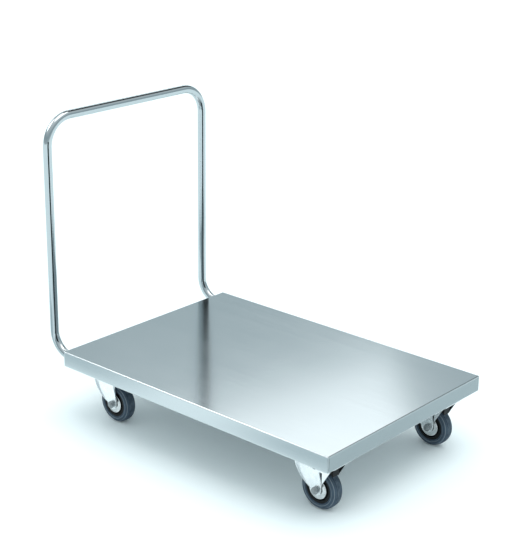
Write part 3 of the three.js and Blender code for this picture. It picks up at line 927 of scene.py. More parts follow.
def hexagon_rings(across: float, levels: Sequence[tuple[float, float]], sides: int = 8) -> list[list[Vector]]:
    """Return the rings of a chamfered hexagon along +Z.

    Args:
        across: The width across the flats.
        levels: Pairs of height and the largest radius there, which makes the chamfer.
        sides: The points on each flat.

    Returns:
        The rings.
    """
    count = 6 * sides
    rings = []
    for height, limit in levels:
        ring = []
        for step in range(count):
            angle = math.tau * step / count
            within = (angle % (math.pi / 3)) - math.pi / 6
            radius = min(across / 2 / math.cos(within), limit)
            ring.append(Vector((radius * math.cos(angle), radius * math.sin(angle), height)))
        rings.append(ring)
    return rings


def chamfer_levels(across: float, low: float, high: float, both: bool) -> list[tuple[float, float]]:
    """Return the levels of a hexagon whose corners are cut by a 30-degree cone.

    Args:
        across: The width across the flats.
        low: The lower face.
        high: The upper face.
        both: True where both faces are chamfered.

    Returns:
        Pairs of height and largest radius.
    """
    corner = across / math.sqrt(3)
    flat = 0.47 * across
    cuts = [flat + (corner - flat) * share for share in (0.0, 0.25, 0.5, 0.75, 1.0)]
    slope = math.tan(math.radians(30))
    upper = [(high - (radius - flat) * slope, radius) for radius in reversed(cuts)]
    if not both:
        return [(low, corner), *upper]
    lower = [(low + (radius - flat) * slope, radius) for radius in cuts]
    return [*lower, *upper]


# ---------------------------------------------------------------- deck


@dataclass
class Deck:
    """The folded deck sheet with its skirts, turned-in lip and corner seams."""

    sheet: float = 2 * MM
    lip: float = 20 * MM
    bend: float = 3.6 * MM
    corner: float = 3.0 * MM
    seam_width: float = 2.2 * MM
    seam_depth: float = 1.6 * MM
    body: str = "chassis"
    low: Vector = field(init=False)
    high: Vector = field(init=False)

    def __post_init__(self) -> None:
        """Read the tray's box."""
        self.low, self.high, _ = span("deck_tray")

    def outline(self, inset: float, level: float, seam: float) -> list[Vector]:
        """Return one level ring of the tray.

        Args:
            inset: How far the ring lies inside the tray's box.
            level: Its height.
            seam: The depth of the corner seams at this level.

        Returns:
            The ring.
        """
        half_x = (self.high.x - self.low.x) / 2 - inset
        half_y = (self.high.y - self.low.y) / 2 - inset
        middle_x = (self.high.x + self.low.x) / 2
        radius = max(self.corner - inset, 0.2 * MM)
        ring: list[Vector] = []
        for sign_x, sign_y, start in ((1, 1, 0), (-1, 1, 90), (-1, -1, 180), (1, -1, 270)):
            centre = (sign_x * (half_x - radius), sign_y * (half_y - radius))
            rounded = arc(centre, radius, start, start + 90, 5)
            near = abs(centre[1]) - 0.4 * MM
            steps = (near - self.seam_width, near - self.seam_width / 2, near)
            dents = [(sign_x * (half_x - depth), sign_y * y) for y, depth in zip(steps, (0, seam, 0))]
            pieces = dents + rounded if sign_x * sign_y > 0 else rounded + dents[::-1]
            ring.extend(Vector((middle_x + x, y, level)) for x, y in pieces)
        return ring

    def build(self) -> None:
        """Build the tray as one closed sheet and dress it."""
        top, bottom = self.high.z, self.low.z
        bend, sheet = self.bend, self.sheet
        inner = bend - sheet
        levels = [(bend + x, top - bend + z, 0.0) for x, z in arc((0, 0), bend, 90, 180, 6)]
        levels += [(0.0, top - bend - 1 * MM, self.seam_depth)]
        levels += [(0.0, bottom + bend + 1 * MM, self.seam_depth)]
        levels += [(bend + x, bottom + bend + z, 0.0) for x, z in arc((0, 0), bend, 180, 270, 6)]
        levels += [(self.lip, bottom, 0.0), (self.lip, bottom + sheet, 0.0)]
        levels += [(bend + x, bottom + bend + z, 0.0) for x, z in arc((0, 0), inner, 270, 180, 4)]
        levels += [(bend + x, top - bend + z, 0.0) for x, z in arc((0, 0), inner, 180, 90, 4)]
        tray = Blank().loft([self.outline(*level) for level in levels]).finish("deck")
        dress(tray, self.body, DECK_STEEL, ["deck_tray"])


# ---------------------------------------------------------------- handle


@dataclass
class PushHandle:
    """The bent tube handle and the welds that join it to the rear skirt."""

    foot_bend: float = 70 * MM
    top_bend: float = 88 * MM
    sides: int = 40
    bend_steps: int = 20
    bead: float = 4.2 * MM
    bead_sides: int = 208
    ripples: int = 26
    ripple_height: float = 0.012
    body: str = "chassis"

    def tube_tree(self) -> bpy.types.NodeTree:
        """Return the tree that rounds a route's corners and sweeps a tube along it.

        Returns:
            The tree, which bends the corners above its split height with the wider radius.
        """
        kinds = {"route": "Geometry", "tube_radius": "Float", "foot_bend": "Float", "top_bend": "Float"}
        kinds |= {"split_height": "Float", "bend_steps": "Int", "sides": "Int"}
        tree = ShapeTree("bent_tube", kinds)
        take = tree.given
        route = tree.add("GeometryNodeMeshToCurve", {}, {"Mesh": take["route"]})
        place = tree.add("GeometryNodeInputPosition", {}, {})
        level = tree.add("ShaderNodeSeparateXYZ", {}, {0: place}, "Z")
        split = {0: level, 1: take["split_height"]}
        above = tree.add("ShaderNodeMath", {"operation": "GREATER_THAN"}, split)
        bend = take["foot_bend"] + above * (take["top_bend"] - take["foot_bend"])
        values = {"Curve": route, "Count": take["bend_steps"], "Radius": bend}
        bent = tree.add("GeometryNodeFilletCurve", {"mode": "POLY"}, values)
        values = {"Resolution": take["sides"], "Radius": take["tube_radius"]}
        section = tree.add("GeometryNodeCurvePrimitiveCircle", {}, values)
        values = {"Curve": bent, "Profile Curve": section, "Fill Caps": True}
        return tree.close(tree.add("GeometryNodeCurveToMesh", {}, values))

    def build(self) -> None:
        """Build the tube and its two weld beads and dress them."""
        low, high, _ = span("push_handle")
        deck_low, deck_high, _ = span("deck_tray")
        rear, side, top = low.x + TUBE_RADIUS, high.y - TUBE_RADIUS, high.z - TUBE_RADIUS
        join = (deck_low.z + deck_high.z) / 2
        end = high.x
        route = [(end, -side, join), (rear, -side, join), (rear, -side, top)]
        route += [(rear, side, top), (rear, side, join), (end, side, join)]
        inputs = {
            "tube_radius": TUBE_RADIUS,
            "foot_bend": self.foot_bend,
            "top_bend": self.top_bend,
            "split_height": (top + join) / 2,
            "bend_steps": self.bend_steps,
            "sides": self.sides,
        }
        edges = [(index, index + 1) for index in range(len(route) - 1)]
        tube = bake_nodes("handle", [Vector(point) for point in route], edges, self.tube_tree(), inputs)
        dress(tube, self.body, TUBE_STEEL, ["push_handle"])
        for label, sign in (("right", -1), ("left", 1)):
            bead = self.weld(Vector((deck_low.x, sign * side, join)))
            dress(bead.finish(f"handle_weld_{label}"), self.body, WELD)

    def ripple(self, angle: float) -> float:
        """Return how much the bead swells at an angle."""
        return 1 + self.ripple_height * abs(math.sin(self.ripples * angle / 2))

    def weld(self, foot: Vector) -> Blank:
        """Return a rippled bead round the foot of one leg.

        Args:
            foot: The point where the tube's axis meets the skirt.

        Returns:
            The bead.
        """
        size, bite, gap = self.bead, 0.4 * MM, 0.05 * MM
        profile = [(TUBE_RADIUS - bite, -gap), (TUBE_RADIUS - bite, -1.05 * size)]
        rounded = ((0.12, 1.05), (0.45, 0.82), (0.8, 0.45), (1.0, 0.1))
        profile += [(TUBE_RADIUS + out * size, -back * size) for out, back in rounded]
        profile += [(TUBE_RADIUS + size, -gap)]
        return Blank().turn(profile, foot, Axis.X, self.bead_sides, True, self.ripple)


# ---------------------------------------------------------------- under the deck


@dataclass
class UnderFrame:
    """The cross members, stiffeners and backing plates under the deck, with their spot welds."""

    sheet: float = 2 * MM
    flange: float = 22 * MM
    bend: float = 3.5 * MM
    spot_radius: float = 3.2 * MM
    spot_height: float = 0.35 * MM
    spot_pitch: float = 55 * MM
    body: str = "chassis"

    def section(self, low: float, high: float, half: float) -> list[Point]:
        """Return a hat section with rounded folds.

        Args:
            low: The floor of the hat.
            high: The top of its flanges.
            half: Half the width of the hat.

        Returns:
            The section, as pairs of width and height.
        """
        sheet, reach = self.sheet, half + self.flange
        right = [(half, low), (half, high - sheet), (reach, high - sheet), (reach, high)]
        right += [(half - sheet, high), (half - sheet, low + sheet)]
        left = [(-x, z) for x, z in reversed(right)]
        outer, inner = self.bend, self.bend - sheet
        bends = [outer, inner, 0.3 * MM, 0.3 * MM, outer, inner]
        return filleted(right + left, bends + bends[::-1], 4)

    def spot_welds(self, repeater: Repeater, points: list[Vector]) -> None:
        """Set a shallow nugget on each spot weld.

        Args:
            repeater: The tree that copies a prototype.
            points: The places of the spots, on the underside of the flanges.
        """
        radius, height, root = self.spot_radius, self.spot_height, 0.1 * MM
        profile = [(0.0, -height), (radius * 0.55, -height), (radius * 0.9, -height * 0.5)]
        profile += [(radius, root), (0.0, root)]
        nugget = Blank().turn(profile, (0, 0, 0), Axis.Z, 16).finish("spot_nugget")
        dress(repeater.spread("spot_welds", nugget, points, math.tau, 3), self.body, WELD)

    def build(self, repeater: Repeater) -> None:
        """Build the members, the stiffeners, the backing plates and the spot welds.

        Args:
            repeater: The tree that copies a prototype.
        """
        spots: list[Vector] = []
        for end in ("rear", "front"):
            node = f"{end}_cross_member"
            low, high, middle = span(node)
            half = (high.x - low.x) / 2 - self.flange
            section = [(middle.x + x, z) for x, z in self.section(low.z, high.z, half)]
            member = Blank().extrude(section, Plane.XZ, low.y, high.y).finish(node + "_folded")
            dress(member, self.body, FRAME_STEEL, [node])
            spots += self.row(low, high, middle.x, half, along_y=True)
        for side in ("right", "left"):
            node = f"{side}_stiffener"
            low, high, middle = span(node)
            half = (high.y - low.y) / 2 - self.flange
            section = [(middle.y + y, z) for y, z in self.section(low.z, high.z, half)]
            bar = Blank().extrude(section, Plane.YZ, low.x, high.x).finish(node + "_folded")
            dress(bar, self.body, FRAME_STEEL, [node])
            spots += self.row(low, high, middle.y, half, along_y=False)
            node = f"handle_backing_plate_{side}"
            low, high, _ = span(node)
            outline = filleted(rectangle(low.y, low.z, high.y, high.z), 4 * MM)
            plate = Blank().extrude(outline, Plane.YZ, low.x, high.x).finish(node + "_cut")
            dress(bevel(plate, 0.4 * MM), self.body, FRAME_STEEL, [node])
        self.spot_welds(repeater, spots)

    def row(self, low: Vector, high: Vector, middle: float, half: float, along_y: bool) -> list[Vector]:
        """Return the spot welds on both flanges of one member.

        Args:
            low: The member's lowest corner.
            high: Its highest corner.
            middle: The middle of its width.
            half: Half the width of its hat.
            along_y: True where it runs along Y, False where it runs along X.

        Returns:
            The places of the spots.
        """
        level = high.z - self.sheet
        start, end = (low.y, high.y) if along_y else (low.x, high.x)
        count = int((end - start) // self.spot_pitch)
        places = []
        for sign in (-1, 1):
            across = middle + sign * (half + self.flange * 0.55)
            for step in range(count):
                along = start + (step + 0.5) * (end - start) / count
                places.append(Vector((across, along, level)) if along_y else Vector((along, across, level)))
        return places


# ---------------------------------------------------------------- casters


@dataclass
class Wheel:
    """One caster's wheel: tyre, nylon centre, hub covers and bearing sleeve."""

    corner: str
    sides: int = 96
    centre: Vector = field(init=False)
    radius: float = field(init=False)
    half: float = field(init=False)

    def __post_init__(self) -> None:
        """Read the wheel's place and size."""
        low, high, self.centre = span(f"{self.corner}_tyre")
        self.radius = (high.z - low.z) / 2
        self.half = (high.y - low.y) / 2

    def tyre_profile(self) -> list[Point]:
        """Return the tyre's section: beads, side-wall rings, round shoulders and a grooved tread.

        Returns:
            Pairs of radius and place along the axle.
        """
        radius, half = self.radius, self.half
        bore = radius - 20 * MM + 0.3 * MM
        side = [
            (bore, half - 2.6 * MM),
            (bore + 0.8 * MM, half - 1.2 * MM),
            (bore + 2.4 * MM, half - 0.5 * MM),
            (bore + 3.6 * MM, half - 0.7 * MM),
            (bore + 4.2 * MM, half - 1.3 * MM),
            (bore + 5.0 * MM, half - 1.3 * MM),
            (bore + 5.6 * MM, half - 0.2 * MM),
            (bore + 6.8 * MM, half),
            (bore + 9.6 * MM, half - 0.2 * MM),
            (bore + 10.2 * MM, half - 0.9 * MM),
            (bore + 10.9 * MM, half - 0.9 * MM),
            (bore + 11.5 * MM, half - 0.6 * MM),
            (bore + 13.4 * MM, half - 2.0 * MM),
            (radius - 4.4 * MM, half - 3.8 * MM),
            (radius - 4.3 * MM, half - 4.7 * MM),
            (radius - 3.2 * MM, half - 5.2 * MM),
            (radius - 1.6 * MM, half - 7.6 * MM),
            (radius - 0.7 * MM, half - 10.0 * MM),
            (radius - 2.9 * MM, half - 10.7 * MM),
            (radius - 2.9 * MM, half - 11.9 * MM),
            (radius - 0.4 * MM, half - 12.2 * MM),
            (radius, half - 15.0 * MM),
            (radius, half - 16.4 * MM),
            (radius - 2.2 * MM, half - 16.9 * MM),
            (radius - 2.2 * MM, half - 17.9 * MM),
            (radius, half - 18.3 * MM),
        ]
        return mirrored(side)

    def rim_profile(self) -> list[Point]:
        """Return the nylon centre's section.

        Returns:
            Pairs of radius and place along the axle.
        """
        low, high, _ = span(f"{self.corner}_rim")
        half = (high.y - low.y) / 2
        outer = self.radius - 20 * MM
        side = [
            (10.7 * MM, half),
            (17.0 * MM, half),
            (18.0 * MM, half - 1 * MM),
            (19.0 * MM, 6.6 * MM),
            (20.5 * MM, 5.6 * MM),
            (32.0 * MM, 5.6 * MM),
            (33.6 * MM, 6.6 * MM),
            (34.4 * MM, half - 3 * MM),
            (35.6 * MM, half - 1.2 * MM),
            (39.0 * MM, half - 0.8 * MM),
            (39.6 * MM, half),
            (outer - 0.6 * MM, half),
            (outer, half - 0.6 * MM),
        ]
        return mirrored(side)

    def cover_profile(self, sign: int) -> list[Point]:
        """Return a hub cover's section on one side of the wheel.

        Args:
            sign: -1 for the right side, 1 for the left.

        Returns:
            The profile, measured from the wheel's middle.
        """
        side = "right" if sign < 0 else "left"
        low, high, _ = span(f"{self.corner}_hub_cover_{side}")
        near = min(abs(low.y - self.centre.y), abs(high.y - self.centre.y))
        reach = (high.x - low.x) / 2
        shape = [
            (10.6 * MM, near),
            (reach - 0.2 * MM, near),
            (reach, near + 0.4 * MM),
            (reach - 0.4 * MM, near + 1.3 * MM),
            (reach - 1.8 * MM, near + 1.9 * MM),
            (reach - 3.2 * MM, near + 1.4 * MM),
            (reach - 4.2 * MM, near + 0.7 * MM),
            (reach - 8.5 * MM, near + 0.7 * MM),
            (reach - 10.0 * MM, near + 1.6 * MM),
            (reach - 13.5 * MM, near + 1.9 * MM),
            (reach - 15.5 * MM, near + 1.2 * MM),
            (10.6 * MM, near + 1.0 * MM),
        ]
        return [(r, sign * y) for r, y in shape]

    def build(self) -> None:
        """Build the wheel's pieces and dress them."""
        corner, centre = self.corner, self.centre
        body = f"{corner}_wheel"
        tyre = Blank().turn(self.tyre_profile(), centre, Axis.Y, self.sides, True)
        dress(tyre.finish(f"{corner}_tyre_moulded"), body, TYRE_RUBBER, [f"{corner}_tyre"], centre)
        rim = Blank().turn(self.rim_profile(), centre, Axis.Y, self.sides, True)
        dress(rim.finish(f"{corner}_rim_moulded"), body, NYLON, [f"{corner}_rim"], centre)
        for side, sign in (("right", -1), ("left", 1)):
            cover = Blank().turn(self.cover_profile(sign), centre, Axis.Y, 64, True)
            name = f"{corner}_hub_cover_{side}"
            dress(cover.finish(name + "_pressed"), body, HUB_STEEL, [name], centre)
        low, high, middle = span(f"{corner}_wheel_bearing")
        half = (high.y - low.y) / 2
        profile = mirrored([(6.3 * MM, half), (9.8 * MM, half), (10.3 * MM, half - 0.5 * MM)])
        sleeve = Blank().turn(profile, middle, Axis.Y, 40, True).finish(f"{corner}_bearing_sleeve")
        dress(sleeve, f"{corner}_caster", TURNED, [f"{corner}_wheel_bearing"], centre)


@dataclass
class Fork:
    """One caster's pressed fork, with its crown, flared legs, race, kingpin and axle."""

    corner: str
    sheet: float = 3 * MM
    crown: float = 3.5 * MM
    fold: float = 6 * MM
    foot: float = 16 * MM
    rim: float = 7.6 * MM
    shoulder: float = 132.5 * MM
    heel_bulge: float = 5.5 * MM
    heel_curve: float = 0.62
    knee: float = 94.5 * MM
    knee_step: float = 3 * MM
    front_reach: float = 46 * MM
    spanner: float = 19 * MM
    swivel: Vector = field(init=False)
    axle: Vector = field(init=False)

    def __post_init__(self) -> None:
        """Read the swivel axis and the axle."""
        self.swivel = span(f"{self.corner}_swivel_bearing")[2]
        self.axle = span(f"{self.corner}_wheel_bearing")[2]

    def edges(self, level: float) -> tuple[float, float]:
        """Return the rear and front edge of a leg at a height, from the swivel axis.

        Args:
            level: The height.

        Returns:
            The two edges along X.
        """
        low, high, _ = span(f"{self.corner}_fork")
        trail, axle = self.axle.x - self.swivel.x, self.axle.z
        if level <= axle:
            reach = math.sqrt(max(self.foot**2 - (axle - level) ** 2, 0.0))
            return trail - reach, trail + reach
        heel, toe, rear = trail - self.foot, trail + self.foot, low.x - self.swivel.x
        share = min((level - axle) / (self.shoulder - axle), 1.0)
        bulge = math.sin(share * math.pi) * self.heel_bulge
        back = heel + (rear - heel) * share**self.heel_curve - bulge
        if level < self.knee:
            ahead = toe + self.knee_step * (level - axle) / (self.knee - axle)
        else:
            step = toe + self.knee_step
            ahead = step + (self.front_reach - step) * (level - self.knee) / (high.z - self.knee)
        return max(back, rear), ahead

    def flare(self, level: float) -> float:
        """Return how far a leg's rims stand out at a height.

        Args:
            level: The height.

        Returns:
            The rims' height above the sheet.
        """
        high = span(f"{self.corner}_fork")[1]
        share = (level - self.axle.z - 2 * MM) / (high.z - 14 * MM - self.axle.z)
        return self.rim * max(0.0, min(1.0, share)) ** 0.75

    def stations(self) -> list[Station]:
        """Return the stations of the right half of the fork, from the foot to the crown.

        Returns:
            For each station a point on the inner face, the outward direction, both edges, the rim's
            height and the sheet's thickness.
        """
        low, high, _ = span(f"{self.corner}_fork")
        inside = (high.y - low.y) / 2 - 0.3 * MM - 8 * MM - self.sheet
        under = high.z - self.crown
        axle, fold = self.axle.z, self.fold
        rounds = [1 - math.cos(math.radians(angle)) for angle in (6, 16, 28, 42, 58, 74, 90)]
        levels = [axle - self.foot + self.foot * share for share in rounds]
        levels += [axle + (under - fold - axle) * step / 16 for step in range(1, 17)]
        made: list[Station] = []
        for level in levels:
            base, away = Vector((0, -inside, level)), Vector((0, -1, 0))
            made.append((base, away, *self.edges(level), self.flare(level), self.sheet))
        edges = self.edges(under)
        centre = Vector((0, -inside + fold, under - fold))
        for angle in (15, 30, 45, 60, 75, 90):
            turn = math.radians(angle)
            away = Vector((0, -math.cos(turn), math.sin(turn)))
            rim = self.flare(under) * math.cos(turn) ** 2
            made.append((centre + away * fold, away, *edges, rim, self.sheet))
        made.append((Vector((0, -inside / 2, under)), Vector((0, 0, 1)), *edges, 0.0, self.crown))
        return made

    def section(self, station: Station) -> list[Vector]:
        """Return the closed section of the pressed sheet at a station.

        Args:
            station: One of the stations.

        Returns:
            The section's points.
        """
        base, away, rear, front, rim, sheet = station
        width = min(sheet, max((front - rear) * 0.3, 0.2 * MM))
        tip = sheet + max(rim, 0.1 * MM)
        outer = [(rear, 0.0), (rear, tip), (rear + width, tip)]
        inner = [(rear + width, sheet), (front - width, sheet)]
        closing = [(front - width, tip), (front, tip), (front, 0.0)]
        hollow = min(2.6 * MM, rim * 0.6) + 0.02 * MM
        fold, edge = hollow + 1 * MM, min(0.5 * MM, width * 0.49)
        radii = [fold, edge, edge, hollow, hollow, edge, edge, fold]
        outline = filleted(outer + inner + closing, radii, 4)
        shift = Vector((self.swivel.x, self.swivel.y, 0))
        return [shift + base + Vector((x, 0, 0)) + away * height for x, height in outline]

    def build_fork(self) -> None:
        """Build the pressed fork as one closed sheet."""
        right = [self.section(station) for station in self.stations()]
        centre = self.swivel.y
        left = [[Vector((p.x, 2 * centre - p.y, p.z)) for p in ring] for ring in reversed(right)]
        fork = Blank().loft(right + left).finish(f"{self.corner}_fork_pressed")
        dress(fork, f"{self.corner}_caster", ZINC, [f"{self.corner}_fork"])

    def build_plate(self) -> None:
        """Build the top plate with its raised boss."""
        name = f"{self.corner}_top_plate"
        low, high, middle = span(name)
        outline = filleted(rectangle(low.x, low.y, high.x, high.y), 9 * MM, 6)
        plate = Blank().extrude(outline, Plane.XY, low.z, high.z)
        base, top = low.z - 0.2 * MM, low.z + 0.5 * MM
        boss = [(0.0, base), (34 * MM, base), (36 * MM, top), (0.0, top)]
        plate.turn(boss, (middle.x, middle.y, 0), Axis.Z, 48)
        dress(bevel(plate.finish(name + "_stamped"), 0.6 * MM), "chassis", ZINC, [name])

    def build_race(self) -> None:
        """Build the double ball race."""
        corner = self.corner
        low, high, middle = span(f"{corner}_swivel_bearing")
        reach, third, bore = (high.x - low.x) / 2, (high.z - low.z) / 3, 6.4 * MM
        race = [(bore, low.z), (reach - 7 * MM, low.z)]
        cup = ((2.5, 0.4), (0.6, 1.0), (0.6, 1.45), (2.4, 1.5))
        cap = ((2.4, 1.72), (0, 1.76), (0, 2.3), (1.2, 2.7))
        race += [(reach - inset * MM, low.z + share * third) for inset, share in cup + cap]
        race += [(reach - 3.5 * MM, high.z), (bore, high.z)]
        ring = Blank().turn(race, (middle.x, middle.y, 0), Axis.Z, 72, True).finish(f"{corner}_ball_race")
        dress(ring, f"{corner}_caster", ZINC, [f"{corner}_swivel_bearing"])

    def build_kingpin(self) -> None:
        """Build the kingpin with its domed head."""
        corner = self.corner
        low, high, middle = span(f"{corner}_kingpin")
        dome = ((0.0, 0.0), (3.5, 0.2), (7.5, 1.4), (10.2, 3.8), (11.0, 6.2), (11.0, 8.0), (6.0, 8.0))
        pin = [(radius * MM, low.z + height * MM) for radius, height in dome]
        pin += [(6.0 * MM, high.z - 0.5 * MM), (5.5 * MM, high.z), (0.0, high.z)]
        king = Blank().turn(pin, (middle.x, middle.y, 0), Axis.Z, 36).finish(f"{corner}_kingpin_turned")
        dress(king, "chassis", TURNED, [f"{corner}_kingpin"], middle)

    def hexagon(self, levels: Sequence[tuple[float, float]]) -> list[list[Vector]]:
        """Return a hexagon's rings, laid along the axle.

        Args:
            levels: Its levels, measured from the wheel's middle.

        Returns:
            The rings.
        """
        place = Matrix.Translation(self.axle) @ Matrix.Rotation(math.radians(-90), 4, "X")
        return [[place @ point for point in ring] for ring in hexagon_rings(self.spanner, levels)]

    def build_bolt(self) -> None:
        """Build the axle bolt with its chamfered head and its thread."""
        corner = self.corner
        low, high, _ = span(f"{corner}_axle_bolt")
        tail, top = low.y - self.axle.y, high.y - self.axle.y
        head = top - 7.5 * MM
        bolt = Blank().loft(self.hexagon(chamfer_levels(self.spanner, head, top, False)))
        pitch, shank = 1.5 * MM, 6.0 * MM
        ridges = int(13 * MM / pitch)
        thread = [(0.0, tail), (5.0 * MM, tail)]
        for ridge in range(ridges):
            start = tail + 0.6 * MM + ridge * pitch
            thread += [(5.15 * MM, start), (5.95 * MM, start + 0.55 * pitch)]
        thread += [(shank, tail + 0.9 * MM + ridges * pitch), (shank, head + 1 * MM), (0.0, head + 1 * MM)]
        bolt.turn(thread, self.axle, Axis.Y, 32)
        piece = bolt.finish(f"{corner}_axle_bolt_turned")
        dress(piece, f"{corner}_caster", TURNED, [f"{corner}_axle_bolt"], self.axle)

    def build_nut(self) -> None:
        """Build the axle nut with its collar."""
        corner = self.corner
        low, high, _ = span(f"{corner}_axle_nut")
        near, far = high.y - self.axle.y, low.y - self.axle.y
        nut = Blank().loft(self.hexagon(chamfer_levels(self.spanner, far, near, True)))
        shape = ((6.2, -1.2), (7.4, -1.2), (8.4, -0.4), (8.6, 0.4), (6.2, 0.4))
        collar = [(radius * MM, far + place * MM) for radius, place in shape]
        nut.turn(collar, self.axle, Axis.Y, 40, True)
        piece = nut.finish(f"{corner}_axle_nut_chamfered")
        dress(piece, f"{corner}_caster", TURNED, [f"{corner}_axle_nut"], self.axle)

    def build(self) -> None:
        """Build every piece of the fork and dress it."""
        self.build_fork()
        self.build_plate()
        self.build_race()
        self.build_kingpin()
        self.build_bolt()
        self.build_nut()


@dataclass
class Brake:
    """A foot brake: pressed lever with a ribbed tread, its pin and its lined block."""

    corner: str
    sheet: float = 2 * MM
    eye: float = 9 * MM
    ribs: int = 6
    rib_height: float = 1.2 * MM
    inset: float = 0.05 * MM
    rib_pitch: float = 6 * MM
    lining: float = 2.5 * MM
    pad_ends: Point = (30 * MM, 47 * MM)
    pad_half: float = 14 * MM

    def build(self, repeater: Repeater) -> None:
        """Build the brake's pieces and dress them.

        Args:
            repeater: The tree that copies a prototype.
        """
        body = f"{self.corner}_brake"
        axle = span(f"{self.corner}_wheel_bearing")[2]
        self.build_lever(repeater, axle, body)
        self.build_pin()
        self.build_block(axle, body)

    @staticmethod
    def cheeks(blank: Blank, outline: Sequence[Point], low: Vector, high: Vector, sheet: float) -> None:
        """Add a brake piece's two side walls.

        Args:
            blank: The blank that they are added to.
            outline: The outline of a wall.
            low: The piece's lowest corner.
            high: Its highest corner.
            sheet: The thickness of a wall.
        """
        middle, half = (low.y + high.y) / 2, (high.y - low.y) / 2
        for sign in (-1, 1):
            outside = middle + sign * half
            blank.extrude(outline, Plane.XZ, *sorted((outside, outside - sign * sheet)))

    def build_lever(self, repeater: Repeater, axle: Vector, body: str) -> None:
        """Build the pressed lever: two cheeks, the tread plate and its ribs.

        Args:
            repeater: The tree that copies a prototype.
            axle: The middle of the wheel.
            body: The body that it moves with.
        """
        node = f"{self.corner}_brake_lever"
        low, high, middle = span(node)
        pin = span(f"{self.corner}_brake_pin")[2]
        edge, reach, tip = axle.x + 27 * MM, axle.x + 66 * MM, axle.z + 29 * MM
        cheek = [(pin.x - self.eye, high.z)] + arc((pin.x, pin.z), self.eye, 180, 270, 8)
        cheek += [(edge, pin.z - self.eye), (edge, tip), (reach, high.z)]
        lever = Blank()
        self.cheeks(lever, cheek, low, high, self.sheet)
        back, lip, top = pin.x + 11 * MM, high.x - 3 * MM, high.z
        under, hem = top - self.sheet, top - 9 * MM
        tread = [(back, under), (lip, under), (high.x - self.sheet, hem), (high.x, hem)]
        tread += [(high.x, top - 2 * MM), (lip + 1 * MM, top), (back, top)]
        lever.extrude(tread, Plane.XZ, low.y + self.inset, high.y - self.inset)
        dress(bevel(lever.finish(node + "_pressed"), 0.45 * MM), body, ZINC, [node])
        self.build_ribs(repeater, Vector((lip - 2 * MM, middle.y, top)), high.y - low.y, body)

    def build_ribs(self, repeater: Repeater, start: Vector, width: float, body: str) -> None:
        """Build the grip ribs on the tread plate.

        Args:
            repeater: The tree that copies a prototype.
            start: The front rib's middle.
            width: The plate's width.
            body: The body that they move with.
        """
        half, thin = width / 2 - 5 * MM, 1.1 * MM
        outline = filleted(rectangle(-thin, -half, thin, half), 1 * MM, 4)
        bar = Blank().extrude(outline, Plane.XY, -0.2 * MM, self.rib_height).finish("grip_rib")
        places = [start - Vector((self.rib_pitch * step, 0, 0)) for step in range(self.ribs)]
        dress(repeater.spread(f"{self.corner}_pedal_ribs", bar, places, 0.0, 1), body, ZINC)

    def build_pin(self) -> None:
        """Build the lever's riveted pin."""
        node = f"{self.corner}_brake_pin"
        low, high, middle = span(node)
        half = (high.y - low.y) / 2
        shape = ((0.0, 0.0), (4.6, 0.0), (5.6, 0.9), (5.6, 1.7), (4.0, 1.8))
        profile = mirrored([(radius * MM, depth * MM - half) for radius, depth in shape])
        rivet = Blank().turn(profile, middle, Axis.Y, 28).finish(node + "_riveted")
        dress(rivet, f"{self.corner}_caster", TURNED, [node], middle)

    def build_block(self, axle: Vector, body: str) -> None:
        """Build the moulded block with its two linings.

        Args:
            axle: The middle of the wheel.
            body: The body that it moves with.
        """
        node = f"{self.corner}_brake_block"
        low, high, middle = span(node)
        rear, front, top = axle.x + 27.3 * MM, axle.x + 63.5 * MM, high.z
        block = Blank()
        wall = [(rear, top), (rear, axle.z + 31.5 * MM), (front, top)]
        self.cheeks(block, wall, low, high, self.lining)
        roof = rectangle(rear, top - self.lining, front - self.lining, top)
        block.extrude(roof, Plane.XZ, low.y + self.inset, high.y - self.inset)
        sweep, root = self.sweep(), top - self.lining / 2
        near, far = self.pad_ends
        steep, shallow = (math.degrees(math.acos(end / sweep)) for end in self.pad_ends)
        pad = arc((axle.x, axle.z), sweep, steep, shallow, 8)
        pad += [(axle.x + far, root), (axle.x + near, root)]
        block.extrude(pad, Plane.XZ, middle.y - self.pad_half, middle.y + self.pad_half)
        dress(bevel(block.finish(node + "_moulded"), 0.4 * MM), body, NYLON, [node])

    def sweep(self) -> float:
        """Return the radius of the block's working face."""
        low, high, _ = span(f"{self.corner}_tyre")
        return (high.z - low.z) / 2 + 6 * MM


